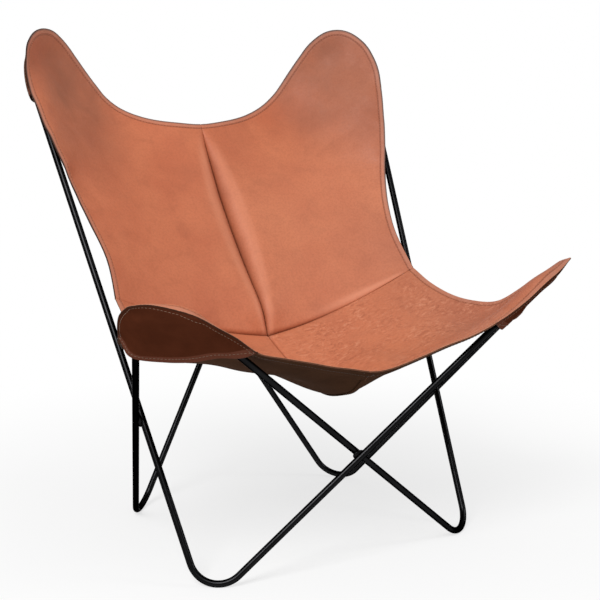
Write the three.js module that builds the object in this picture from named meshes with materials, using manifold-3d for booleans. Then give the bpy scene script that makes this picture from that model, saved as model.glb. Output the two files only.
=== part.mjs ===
// Butterfly sling chair: a leather sling hung by four pockets on two crossed loops of bent steel rod.
// Millimetres, +Z up. The chair faces -Y, and +X is the right-hand side seen from the front.

import * as THREE from 'three';
import { mergeVertices } from 'three/addons/utils/BufferGeometryUtils.js';
import Module from 'manifold-3d';

const wasm = await Module();
wasm.setup();

const vec = (x, y, z) => new THREE.Vector3(x, y, z);

// Rod frame: the corner points are where the straight lines of two legs would meet.
const ROD_DIAMETER = 12;
const FRONT_FOOT_X = 279.5;
const FRONT_FOOT_Y = -214.5;
const BACK_FOOT_X = 216.5;
const BACK_FOOT_Y = 213;
const FRONT_TOP_X = 413;
const FRONT_TOP_Y = -336;
const FRONT_TOP_HEIGHT = 557;
const BACK_TOP_X = 395;
const BACK_TOP_Y = 419;
const BACK_TOP_HEIGHT = 1007;
const FOOT_BEND = 50;
const FRONT_TOP_BEND = 58;
const BACK_TOP_BEND = 60;
const WELD_GAP = 0.3;
const WELD_LENGTH = 26;
const WELD_WIDTH = 17;
const WELD_DEPTH = 10;

// Leather
const PANEL_THICKNESS = 3.5;
const POCKET_THICKNESS = 2.5;
const FACING_THICKNESS = 2;
const FACING_WIDTH = 22;
const STITCH_MARGIN = 10;
const TAPE_THICKNESS = 2;
const TAPE_WIDTH = 30;
const SEWN_GAP = 0.3;
const SEAM_GAP = 0.3;
const REST_GAP = 0.7;
const MOUTH_INSET = 2;
const BACK_MOUTH_BOW = 22;
const FRONT_MOUTH_BOW = 31;
const POCKET_CLEAR = 6;
const POCKET_SEWN = 28;
const POCKET_LEAST = 1.5;

// Sling along its middle, from the top edge down the back, across the crease and out to the front edge.
const TOP_MIDDLE_Y = 365;
const TOP_MIDDLE_HEIGHT = 733;
const TOP_MIDDLE = vec(0, TOP_MIDDLE_Y, TOP_MIDDLE_HEIGHT);
const CREASE_MIDDLE = vec(0, 74, 346);
const FRONT_MIDDLE = vec(0, -290, 342);
const BACK_SEAM = [CREASE_MIDDLE, vec(0, 92, 394), vec(0, 136, 444), vec(0, 229, 551), TOP_MIDDLE];
const SEAT_SEAM = [
  CREASE_MIDDLE, vec(0, 18, 321), vec(0, -60, 297), vec(0, -135, 287), vec(0, -215, 303), FRONT_MIDDLE,
];
const CREASE = [vec(64, 78, 356), vec(152, 70, 382), vec(230, 62, 413)];
const SEAT_BELLY = [vec(115, -125, 318), vec(220, -125, 360)];

// Free edges near the frame: distance down the leg from the corner, out from the loop, up off its plane.
const TOP_EDGE = [[406, 117, 102], [370, 95, 66], [331, 78, 38], [292, 64, 25]];
const BACK_WING_INNER = [[258, 55, 24], [224, 47, 26], [189, 37, 30], [158, 26, 34]];
const BACK_WING_TIP = [[121, -36, 38], [114, -8, 36], [118, 18, 30]];
const BACK_WING_OUTER = [[148, 10, 24], [178, 21, 19], [210, 26, 12], [252, 23, 6]];
const BACK_SIDE = [[326, 14, 6], [383, 5, 6], [466, -8, 8], [551, -15, 20], [611, -7, 29]];
const WAIST = [672, 8, 29];
const FRONT_EDGE = [[400, 57, 52], [328, 36, 30], [272, 34, 9]];
const FRONT_WING_INNER = [[226, 31, 1], [195, 28, -2], [160, 22, -5], [123, 13, -6]];
const FRONT_WING_TIP = [[84, -20, -6], [73, 7, -6], [71, 28, -5]];
const FRONT_WING_OUTER = [[93, 20, 4], [126, 30, 9], [167, 38, 16], [209, 39, 22]];
const SEAT_SIDE = [[257, 37, 37], [289, 38, 68], [314, 43, 100], [336, 54, 144]];

// Where the leather lies on the rods: distances down the legs from the corner.
const BACK_RESTS_INNER = [225, 265, 305];
const BACK_RESTS_OUTER = [225, 265];
const FRONT_RESTS_INNER = [150, 185, 220];
const FRONT_RESTS_OUTER = [150, 185, 220];

// Faceting
const ROD_SIDES = 12;
const BEND_STEPS = 5;
const FOOT_FLAT = THREE.MathUtils.degToRad(14);
const COLUMNS_INSIDE = 5;
const ROWS_SIDE = 6;
const MOUTH_INSIDE = 6;
const WING_ROWS = 7;
const CURVE_SAMPLES = 120;
const RIM_CUTS = 3;
const EVENING_PASSES = 40;
const CENTRE_STEPS = 24;
const CLEARING_PASSES = 6;
const LEAST_GIVE = 0.2;

const ROD_RADIUS = ROD_DIAMETER / 2;
const FRONT_TOP = vec(FRONT_TOP_X, FRONT_TOP_Y, FRONT_TOP_HEIGHT);
const BACK_TOP = vec(BACK_TOP_X, BACK_TOP_Y, BACK_TOP_HEIGHT);
const FORWARD = vec(0, -1, 0);
const LEFTWARD = vec(-1, 0, 0);
const SETTLING_STEPS = 40;
const lerp = THREE.MathUtils.lerp;
const mirrored = (point) => vec(-point.x, point.y, point.z);
const unit = (from, to) => to.clone().sub(from).normalize();

// Bends: an arc that joins two legs at a corner.

function bend(previous, corner, next, radius) {
  const back = unit(corner, previous);
  const ahead = unit(corner, next);
  const half = back.angleTo(ahead) / 2;
  const inward = back.clone().add(ahead).normalize();
  const centre = corner.clone().addScaledVector(inward, radius / Math.sin(half));
  const start = corner.clone().addScaledVector(back, radius / Math.tan(half));
  const radial = unit(centre, start);
  const travel = back.clone().negate();
  return {
    centre,
    radius,
    radial,
    travel,
    axis: radial.clone().cross(travel),
    turn: Math.PI - 2 * half,
    out: (angle) => radial.clone().multiplyScalar(Math.cos(angle)).addScaledVector(travel, Math.sin(angle)),
  };
}

// Angles of a bend's rings. A foot has one step that lies level at its lowest point.
function ringAngles(arc, isFoot) {
  const angles = [];
  if (!isFoot) {
    for (let i = 0; i <= 2 * BEND_STEPS; i++) angles.push((arc.turn * i) / (2 * BEND_STEPS));
    return angles;
  }
  const lowest = Math.atan2(-arc.travel.z, -arc.radial.z);
  for (let i = 0; i <= BEND_STEPS; i++) angles.push(lerp(0, lowest - FOOT_FLAT / 2, i / BEND_STEPS));
  for (let i = 0; i <= BEND_STEPS; i++) angles.push(lerp(lowest + FOOT_FLAT / 2, arc.turn, i / BEND_STEPS));
  return angles;
}

// The turn of the section that puts one flat of it on the floor.
function sectionTurn(arc, isFoot) {
  if (!isFoot) return 0;
  const lowest = arc.out(Math.atan2(-arc.travel.z, -arc.radial.z));
  return Math.atan2(-arc.axis.z, -lowest.z * Math.cos(FOOT_FLAT / 2));
}

function bendRings(arc, isFoot) {
  const turned = sectionTurn(arc, isFoot);
  return ringAngles(arc, isFoot).map((angle) => {
    const out = arc.out(angle);
    const middle = arc.centre.clone().addScaledVector(out, arc.radius);
    const ring = [];
    for (let k = 0; k < ROD_SIDES; k++) {
      const around = turned + ((k + 0.5) * 2 * Math.PI) / ROD_SIDES;
      const point = middle.clone().addScaledVector(out, ROD_RADIUS * Math.cos(around));
      ring.push(point.addScaledVector(arc.axis, ROD_RADIUS * Math.sin(around)));
    }
    return { middle, ring };
  });
}

// Nearest points of two legs, each given as its two ends.
function crossing([startA, endA], [startB, endB]) {
  const alongA = unit(startA, endA);
  const alongB = unit(startB, endB);
  if (alongA.dot(alongB) < 0) alongB.negate();
  const between = startB.clone().sub(startA);
  const cosine = alongA.dot(alongB);
  const reach = (between.dot(alongA) - cosine * between.dot(alongB)) / (1 - cosine * cosine);
  const nearA = startA.clone().addScaledVector(alongA, reach);
  const nearB = startB.clone().addScaledVector(alongB, nearA.clone().sub(startB).dot(alongB));
  return { alongA, alongB, nearA, nearB };
}

// How far the first leg passes beyond the second, measured towards a side.
function passing(first, second, side) {
  const { nearA, nearB } = crossing(first, second);
  const apart = nearA.clone().sub(nearB);
  return apart.length() * Math.sign(apart.dot(side));
}

// Corner order: loop a is back left top, front left foot, front right top, back right foot, and loop b
// is its other hand. They part by one rod and the weld gap at each crossing, and every foot is on the floor.
function settledLoops() {
  const frontFoot = vec(FRONT_FOOT_X, FRONT_FOOT_Y, 0);
  const backFoot = vec(BACK_FOOT_X, BACK_FOOT_Y, 0);
  const a = [mirrored(BACK_TOP), mirrored(frontFoot), FRONT_TOP.clone(), backFoot];
  const b = [mirrored(FRONT_TOP), frontFoot, BACK_TOP.clone(), mirrored(backFoot)];
  const wanted = ROD_DIAMETER + WELD_GAP;
  for (let i = 0; i < SETTLING_STEPS; i++) {
    const front = passing([a[1], a[2]], [b[0], b[1]], FORWARD);
    const back = passing([a[3], a[0]], [b[2], b[3]], FORWARD);
    const left = passing([b[3], b[0]], [a[0], a[1]], LEFTWARD);
    const right = passing([b[1], b[2]], [a[2], a[3]], LEFTWARD);
    const sideways = (wanted - (left + right) / 2) / 2;
    const forward = (wanted - Math.min(front, back)) / 2;
    a.forEach((point) => point.add(vec(sideways, -forward, 0)));
    b.forEach((point) => point.sub(vec(sideways, -forward, 0)));
    a[1].x += (right - left) / 2;
    b[1].x += (right - left) / 2;
    for (const loop of [a, b]) {
      for (const foot of [1, 3]) {
        const arc = bend(loop[foot - 1], loop[foot], loop[(foot + 1) % 4], FOOT_BEND);
        const heights = bendRings(arc, true).flatMap(({ ring }) => ring.map((point) => point.z));
        loop[foot].z -= Math.min(...heights);
      }
    }
  }
  return { a, b };
}

const loops = settledLoops();

const isFoot = (i) => i % 2 === 1;

function loopBends(name) {
  const points = loops[name];
  return points.map((point, i) => {
    const topBend = point.y < 0 ? FRONT_TOP_BEND : BACK_TOP_BEND;
    const radius = isFoot(i) ? FOOT_BEND : topBend;
    return bend(points[(i + 3) % 4], point, points[(i + 1) % 4], radius);
  });
}

// Solids from points and triangles

function solid(points, triangles) {
  const geometry = new THREE.BufferGeometry();
  const places = points.flatMap(({ x, y, z }) => [x, y, z]);
  geometry.setAttribute('position', new THREE.Float32BufferAttribute(places, 3));
  let volume = 0;
  for (const [i, j, k] of triangles) volume += points[i].dot(points[j].clone().cross(points[k]));
  const facing = volume < 0 ? triangles.map(([i, j, k]) => [i, k, j]) : triangles;
  geometry.setIndex(facing.flat());
  geometry.computeVertexNormals();
  return geometry;
}

// A closed rod: rings joined one to the next, each turned in steps of its section to twist least.
function rodLoop(name) {
  const rings = loopBends(name).flatMap((arc, i) => bendRings(arc, isFoot(i)));
  const offset = ({ middle, ring }, k) => ring[k % ROD_SIDES].clone().sub(middle);
  const leastTwist = (one, other) => {
    const twist = (step) => {
      let sum = 0;
      for (let k = 0; k < ROD_SIDES; k++) sum += offset(one, k).distanceToSquared(offset(other, k + step));
      return sum;
    };
    const steps = [...Array(ROD_SIDES).keys()];
    return steps.reduce((best, step) => (twist(step) < twist(best) ? step : best), 0);
  };
  const points = rings.flatMap(({ ring }) => ring);
  const triangles = [];
  rings.forEach((one, i) => {
    const next = (i + 1) % rings.length;
    const step = leastTwist(one, rings[next]);
    for (let k = 0; k < ROD_SIDES; k++) {
      const a = i * ROD_SIDES + k;
      const b = i * ROD_SIDES + ((k + 1) % ROD_SIDES);
      const c = next * ROD_SIDES + ((k + step) % ROD_SIDES);
      const d = next * ROD_SIDES + ((k + 1 + step) % ROD_SIDES);
      triangles.push([a, b, d], [a, d, c]);
    }
  });
  return solid(points, triangles);
}

// Welds: a bead round each crossing, cut back from both rods.

function toManifold(geometry) {
  const bare = geometry.clone();
  bare.deleteAttribute('normal');
  bare.deleteAttribute('uv');
  const merged = mergeVertices(bare, 1e-4);
  return new wasm.Manifold(new wasm.Mesh({
    numProp: 3,
    vertProperties: new Float32Array(merged.attributes.position.array),
    triVerts: new Uint32Array(merged.index.array),
  }));
}

function fromManifold(manifold) {
  const mesh = manifold.getMesh();
  const geometry = new THREE.BufferGeometry();
  geometry.setAttribute('position', new THREE.Float32BufferAttribute(mesh.vertProperties, 3));
  geometry.setIndex([...mesh.triVerts]);
  geometry.computeVertexNormals();
  return geometry;
}

function weld(legA, legB) {
  const { alongA, alongB, nearA, nearB } = crossing(legA, legB);
  const long = alongA.clone().add(alongB).normalize();
  const deep = unit(nearA, nearB);
  const wide = deep.clone().cross(long);
  const bead = new THREE.SphereGeometry(0.5, 20, 14);
  bead.scale(WELD_LENGTH, WELD_WIDTH, WELD_DEPTH);
  bead.applyMatrix4(new THREE.Matrix4().makeBasis(long, wide, deep));
  const middle = nearA.clone().add(nearB).multiplyScalar(0.5);
  bead.translate(middle.x, middle.y, middle.z);
  let body = toManifold(bead);
  const cutRadius = ROD_RADIUS + WELD_GAP;
  for (const [near, along] of [[nearA, alongA], [nearB, alongB]]) {
    const rod = new THREE.CylinderGeometry(cutRadius, cutRadius, 3 * WELD_LENGTH, 32);
    rod.applyQuaternion(new THREE.Quaternion().setFromUnitVectors(vec(0, 1, 0), along));
    rod.translate(near.x, near.y, near.z);
    body = body.subtract(toManifold(rod));
  }
  return fromManifold(body);
}

// Leather surface: a thin plate bent through the points that carry it.

function solveLinear(matrix, right) {
  const size = right.length;
  const rows = matrix.map((row, i) => [...row, right[i]]);
  for (let i = 0; i < size; i++) {
    let pivot = i;
    for (let r = i + 1; r < size; r++) if (Math.abs(rows[r][i]) > Math.abs(rows[pivot][i])) pivot = r;
    [rows[i], rows[pivot]] = [rows[pivot], rows[i]];
    for (let r = i + 1; r < size; r++) {
      const factor = rows[r][i] / rows[i][i];
      for (let c = i; c <= size; c++) rows[r][c] -= factor * rows[i][c];
    }
  }
  const answer = new Array(size).fill(0);
  for (let i = size - 1; i >= 0; i--) {
    let sum = rows[i][size];
    for (let c = i + 1; c < size; c++) sum -= rows[i][c] * answer[c];
    answer[i] = sum / rows[i][i];
  }
  return answer;
}

class Plate {
  // across and along span the flat that the plate is bent from; off points to the sitter's side.
  constructor(across, along, off, points) {
    Object.assign(this, { across, along, off });
    this.knots = points.map((point) => this.flat(point));
    const count = points.length;
    const matrix = this.knots.map((knot) => {
      const bumps = this.knots.map((other) => this.bump(knot, other));
      return [...bumps, 1, knot.x, knot.y];
    });
    matrix.push([...this.knots.map(() => 1), 0, 0, 0]);
    matrix.push([...this.knots.map((knot) => knot.x), 0, 0, 0]);
    matrix.push([...this.knots.map((knot) => knot.y), 0, 0, 0]);
    const heights = [...points.map((point) => point.dot(off)), 0, 0, 0];
    const answer = solveLinear(matrix, heights);
    this.weights = answer.slice(0, count);
    this.level = answer.slice(count);
  }

  flat(point) {
    return new THREE.Vector2(point.dot(this.across), point.dot(this.along));
  }

  bump(one, other) {
    const squared = one.distanceToSquared(other);
    return squared < 1e-12 ? 0 : squared * Math.log(squared);
  }

  height(flat) {
    const [base, slopeX, slopeY] = this.level;
    const bent = this.knots.reduce((sum, knot, i) => sum + this.weights[i] * this.bump(flat, knot), 0);
    return base + slopeX * flat.x + slopeY * flat.y + bent;
  }

  at(flat) {
    const point = this.across.clone().multiplyScalar(flat.x).addScaledVector(this.along, flat.y);
    return point.addScaledVector(this.off, this.height(flat));
  }

  normal(flat) {
    const step = 0.5;
    const slope = (x, y) => {
      const ahead = this.height(new THREE.Vector2(flat.x + x, flat.y + y));
      const behind = this.height(new THREE.Vector2(flat.x - x, flat.y - y));
      return (ahead - behind) / (2 * step);
    };
    const tilted = this.off.clone().addScaledVector(this.across, -slope(step, 0));
    return tilted.addScaledVector(this.along, -slope(0, step)).normalize();
  }
}

// A top loop's own directions: down its outer and inner legs, out from each, and up off its plane.
function loopFrame([outerFoot, top, innerFoot], radius, towardsSitter) {
  const outer = unit(top, outerFoot);
  const inner = unit(top, innerFoot);
  const up = outer.clone().cross(inner).normalize();
  if (up.dot(towardsSitter) < 0) up.negate();
  const middle = outer.clone().add(inner).normalize();
  const sideways = outer.clone().sub(inner).normalize();
  const outOf = (leg, side) => {
    const out = up.clone().cross(leg);
    return out.dot(sideways) * side > 0 ? out : out.negate();
  };
  const place = (along, out) => ([distance, outward, lift]) =>
    top.clone().addScaledVector(along, distance).addScaledVector(out, outward).addScaledVector(up, lift);
  const arcDepth = radius / Math.sin(outer.angleTo(inner) / 2);
  return {
    top,
    up,
    middle,
    radius,
    arcDepth,
    onOuter: place(outer, outOf(outer, 1)),
    onInner: place(inner, outOf(inner, -1)),
    onMiddle: place(middle, sideways),
  };
}

// Rod centre line of a top loop, from its outer foot over the bend to its inner foot.
function centreLine([outerFoot, top, innerFoot], radius) {
  const arc = bend(outerFoot, top, innerFoot, radius);
  const points = [outerFoot];
  for (let i = 0; i <= CENTRE_STEPS; i++) {
    const out = arc.out((arc.turn * i) / CENTRE_STEPS);
    points.push(arc.centre.clone().addScaledVector(out, radius));
  }
  points.push(innerFoot);
  return points.slice(1).map((point, i) => new THREE.Line3(points[i], point));
}

function nearestOn(line, point) {
  const spots = line.map((piece) => piece.closestPointToPoint(point, true, vec(0, 0, 0)));
  const isNearer = (one, other) => point.distanceToSquared(one) < point.distanceToSquared(other);
  return spots.reduce((best, spot) => (isNearer(spot, best) ? spot : best));
}

function lackingFrom(line, point, distance) {
  const away = point.clone().sub(nearestOn(line, point));
  const lack = distance - away.length();
  return lack > 0 ? away.normalize().multiplyScalar(lack) : null;
}

function keptOff(line, point, distance) {
  const lack = lackingFrom(line, point, distance);
  return lack ? point.clone().add(lack) : point;
}

// Moves the corners of cells outwards until every part of the cells is clear of a rod.
function clearCells(line, quads, distance, place, isFree) {
  const shares = [0, 0.25, 0.5, 0.75, 1];
  const inCell = (u, v) => [(1 - u) * (1 - v), u * (1 - v), u * v, (1 - u) * v];
  const spots = shares.flatMap((u) => shares.map((v) => inCell(u, v)));
  for (const share of shares) spots.push([1 - share, 0, share, 0], [0, 1 - share, 0, share]);
  for (let pass = 0; pass < CLEARING_PASSES; pass++) {
    for (const quad of quads) {
      for (const spot of spots) {
        const point = vec(0, 0, 0);
        let give = 0;
        quad.forEach((node, i) => {
          point.addScaledVector(place(node), spot[i]);
          if (isFree(node)) give += spot[i] * spot[i];
        });
        const lack = lackingFrom(line, point, distance);
        if (!lack || give < LEAST_GIVE) continue;
        quad.forEach((node, i) => {
          if (isFree(node)) place(node).addScaledVector(lack, spot[i] / give);
        });
      }
    }
  }
}

const UNDER_PANEL = SEWN_GAP + FACING_THICKNESS;
const WING_REST = ROD_RADIUS + REST_GAP + PANEL_THICKNESS / 2;
const PANEL_REST = WING_REST + UNDER_PANEL;
const POCKET_REST = ROD_RADIUS + REST_GAP + POCKET_THICKNESS / 2;

// Lines of the sling, spaced by length

function spaced(points) {
  const lengths = [0];
  for (let i = 1; i < points.length; i++) {
    lengths.push(lengths[i - 1] + points[i].distanceTo(points[i - 1]));
  }
  const total = lengths[lengths.length - 1];
  const at = (distance) => {
    let i = 1;
    while (i < points.length - 1 && lengths[i] < distance) i++;
    const share = (distance - lengths[i - 1]) / (lengths[i] - lengths[i - 1]);
    return points[i - 1].clone().lerp(points[i], share);
  };
  return { total, at };
}

function smooth(points) {
  return new THREE.CatmullRomCurve3(points, false, 'centripetal');
}

function stretch(curve, from, to) {
  const points = [];
  for (let i = 0; i <= CURVE_SAMPLES; i++) points.push(curve.getPoint(lerp(from, to, i / CURVE_SAMPLES)));
  return spaced(points);
}

// Distances along a line: the fixed ones from its start, an even run, then the fixed ones before its end.
function marks(total, fromStart, count, fromEnd) {
  const first = fromStart[fromStart.length - 1];
  const last = total - fromEnd[0];
  const run = [];
  for (let i = 1; i < count; i++) run.push(lerp(first, last, i / count));
  return [...fromStart, ...run, ...fromEnd.map((distance) => total - distance)];
}

const HEM = [FACING_WIDTH, STITCH_MARGIN, 0];
const HEM_START = [0, STITCH_MARGIN, FACING_WIDTH];
const TAPED = [0, TAPE_WIDTH / 2];

// Points of a patch between four sides of equal counts.
function patch(low, high, left, right) {
  const across = low.length - 1;
  const share = (line, i) => {
    let before = 0;
    let total = 0;
    for (let k = 1; k < line.length; k++) {
      const step = line[k].distanceTo(line[k - 1]);
      total += step;
      if (k <= i) before += step;
    }
    return before / total;
  };
  return low.map((_, i) => left.map((__, j) => {
    const u = (share(low, i) + share(high, i)) / 2;
    const v = (share(left, j) + share(right, j)) / 2;
    const point = low[i].clone().multiplyScalar(1 - v).addScaledVector(high[i], v);
    point.addScaledVector(left[j], 1 - u).addScaledVector(right[j], u);
    point.addScaledVector(low[0], -(1 - u) * (1 - v)).addScaledVector(low[across], -u * (1 - v));
    return point.addScaledVector(high[0], -(1 - u) * v).addScaledVector(high[across], -u * v);
  }));
}

// Evens out the inside of a patch, so that its cells stay open where two sides run on into each other.
function evened(points) {
  for (let pass = 0; pass < EVENING_PASSES; pass++) {
    for (let i = 1; i < points.length - 1; i++) {
      for (let j = 1; j < points[i].length - 1; j++) {
        const around = [points[i - 1][j], points[i + 1][j], points[i][j - 1], points[i][j + 1]];
        const sum = around.reduce((total, point) => total.add(point), vec(0, 0, 0));
        points[i][j] = sum.divideScalar(around.length);
      }
    }
  }
  return points;
}

// Pocket leather: sewn to the panel round the wing's edge and open at the mouth, behind the rod between.
function pocketMiddle(loop, rod, { p, n, isRim }) {
  const sewn = PANEL_THICKNESS / 2 + SEWN_GAP + POCKET_THICKNESS / 2;
  const near = nearestOn(rod, p);
  const away = p.clone().sub(near);
  away.addScaledVector(loop.up, -away.dot(loop.up));
  const down = Math.max(p.clone().sub(loop.top).dot(loop.middle), loop.arcDepth);
  const inside = loop.top.clone().addScaledVector(loop.middle, down).sub(near);
  const beyond = away.dot(inside) < 0 ? away.length() : 0;
  const share = isRim ? 1 : THREE.MathUtils.smoothstep(beyond, POCKET_CLEAR, POCKET_SEWN);
  const lift = p.clone().sub(loop.top).dot(loop.up);
  const behind = p.clone().addScaledVector(loop.up, -Math.max(lift + POCKET_REST, 0));
  const depth = p.clone().sub(behind).dot(n);
  behind.addScaledVector(n, Math.min(depth - POCKET_LEAST * sewn, 0));
  return keptOff(rod, behind.lerp(p.clone().addScaledVector(n, -sewn), share), POCKET_REST);
}

// Gives each node the mean direction of the cells round it, on the side it already faces.
function faceNormals(quads) {
  const sums = new Map();
  for (const quad of quads) {
    const [a, b, c, d] = quad.map(({ p }) => p);
    const face = c.clone().sub(a).cross(d.clone().sub(b)).normalize();
    if (face.dot(quad[0].n) < 0) face.negate();
    quad.forEach((node) => sums.set(node, (sums.get(node) ?? vec(0, 0, 0)).add(face)));
  }
  for (const [node, sum] of sums) node.n = sum.normalize();
}

// One half of the back or of the seat: a body from the crease to the free edge, and a wing over the rod loop.
function halfPanel({ loop, rod, lines, mouthBow, rests, belly, plateAxes }) {
  const { seam, crease, edge, inner, tip, outer, side } = lines;
  const middleEnd = seam[seam.length - 1];
  const sideEnd = crease[crease.length - 1];
  // The rim starts one point early, on the other hand, so that the edge runs smoothly across the middle.
  const rim = [mirrored(edge[0]), middleEnd, ...edge, ...inner, ...tip, ...outer, ...side, sideEnd];
  const rimCurve = smooth(rim);
  const rimAt = (index) => index / (rim.length - 1);
  const rimStart = 1;
  const mouthInner = rimStart + 1 + edge.length;
  const tipInner = mouthInner + inner.length - 1;
  const tipOuter = tipInner + tip.length + 1;
  const mouthOuter = tipOuter + outer.length - 1;
  const seamCurve = smooth(seam);
  const creaseCurve = smooth(crease);
  const knots = [
    ...seamCurve.getPoints(12),
    ...creaseCurve.getPoints(9).slice(1),
    ...rimCurve.getPoints(RIM_CUTS * (rim.length - 1)).slice(RIM_CUTS * rimStart + 1, -1),
    ...rests,
    ...belly,
  ];
  const plate = new Plate(...plateAxes, knots);

  const seamLine = stretch(seamCurve, 0, 1);
  const creaseLine = stretch(creaseCurve, 0, 1);
  const edgeLine = stretch(rimCurve, rimAt(rimStart), rimAt(mouthInner));
  const innerLine = stretch(rimCurve, rimAt(mouthInner), rimAt(tipInner));
  const tipLine = stretch(rimCurve, rimAt(tipInner), rimAt(tipOuter));
  const outerLine = stretch(rimCurve, rimAt(mouthOuter), rimAt(tipOuter));
  const sideLine = stretch(rimCurve, 1, rimAt(mouthOuter));
  const bowed = [];
  for (let i = 0; i <= CURVE_SAMPLES; i++) {
    const share = i / CURVE_SAMPLES;
    const straight = rim[mouthOuter].clone().lerp(rim[mouthInner], share);
    bowed.push(straight.addScaledVector(loop.middle, 4 * mouthBow * share * (1 - share)));
  }
  const mouthLine = spaced(bowed);

  const place = (line, distances) => distances.map((distance) => line.at(distance));
  const columns = (line) => place(line, marks(line.total, TAPED, COLUMNS_INSIDE, HEM));
  const sideRows = place(sideLine, marks(sideLine.total, TAPED, ROWS_SIDE, [0]));
  const mouthRows = place(mouthLine, marks(mouthLine.total, HEM_START, MOUTH_INSIDE, HEM));
  const right = [...sideRows, ...mouthRows.slice(1)];
  const seamRows = right.length - TAPED.length - HEM.length + 1;
  const left = place(seamLine, marks(seamLine.total, TAPED, seamRows, HEM));
  const bodyPoints = patch(columns(creaseLine), columns(edgeLine), left, right);

  const evenly = (line, count) => place(line, marks(line.total, [0], count, [0]));
  const tipPoints = evenly(tipLine, mouthRows.length - 1);
  const wingSides = [innerLine, outerLine].map((line) => evenly(line, WING_ROWS));
  const wingPoints = evened(patch([...mouthRows].reverse(), tipPoints, ...wingSides));

  const node = (point, isRim) => {
    const flat = plate.flat(point);
    const lying = isRim ? point.clone() : plate.at(flat);
    return { p: keptOff(rod, lying, PANEL_REST), n: plate.normal(flat), reach: 1, isRim };
  };
  const lastColumn = bodyPoints.length - 1;
  const lastRow = bodyPoints[0].length - 1;
  const body = bodyPoints.map((column, i) => column.map((point, j) => {
    const onSide = i === lastColumn && j <= sideRows.length - 1;
    const isMouthEnd = i === lastColumn && j === lastRow;
    return node(point, i === 0 || j === 0 || j === lastRow || onSide || isMouthEnd);
  }));
  const across = wingPoints.length - 1;
  const wing = wingPoints.map((line, i) => line.map((point, k) => {
    if (k === 0) return body[lastColumn][lastRow - i];
    return node(point, i === 0 || i === across || k === line.length - 1);
  }));
  const wingCells = cells(wing, [0, across], [0, wing[0].length - 1]);
  clearCells(rod, cells(body, [0, lastColumn], [0, lastRow]), PANEL_REST, ({ p }) => p, () => true);
  clearCells(rod, wingCells, WING_REST, ({ p }) => p, () => true);
  faceNormals([...cells(body, [0, lastColumn], [0, lastRow]), ...wingCells]);
  wing.flat().forEach((place) => {
    place.pocket = pocketMiddle(loop, rod, place);
  });
  clearCells(rod, wingCells, POCKET_REST, ({ pocket }) => pocket, ({ isRim }) => !isRim);
  return { body, wing };
}

// Where the leather lies on a top loop: down both legs, over the bend and level across the bend's middle.
function restPoints(loop, innerDistances, outerDistances) {
  const flank = loop.radius * Math.SQRT1_2;
  return [
    ...innerDistances.map((distance) => loop.onInner([distance, 0, PANEL_REST])),
    ...outerDistances.map((distance) => loop.onOuter([distance, 0, PANEL_REST])),
    loop.onMiddle([loop.arcDepth, 0, PANEL_REST]),
    loop.onMiddle([loop.arcDepth - loop.radius, 0, PANEL_REST]),
    loop.onMiddle([loop.arcDepth - flank, flank, PANEL_REST]),
    loop.onMiddle([loop.arcDepth - flank, -flank, PANEL_REST]),
  ];
}

const BACK_TURN = THREE.MathUtils.degToRad(28);
const BACK_AXES = [
  vec(Math.cos(BACK_TURN), -Math.sin(BACK_TURN), 0),
  vec(0, 0, 1),
  vec(-Math.sin(BACK_TURN), -Math.cos(BACK_TURN), 0),
];
const SEAT_AXES = [vec(1, 0, 0), vec(0, 1, 0), vec(0, 0, 1)];

// The loops stand one rod apart, and an edge takes that up on its way from the pocket's mouth to the middle.
function eased(points, mouth, shift) {
  return points.map((point) => point.clone().addScaledVector(shift, point.x / mouth.x - 1));
}

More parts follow.
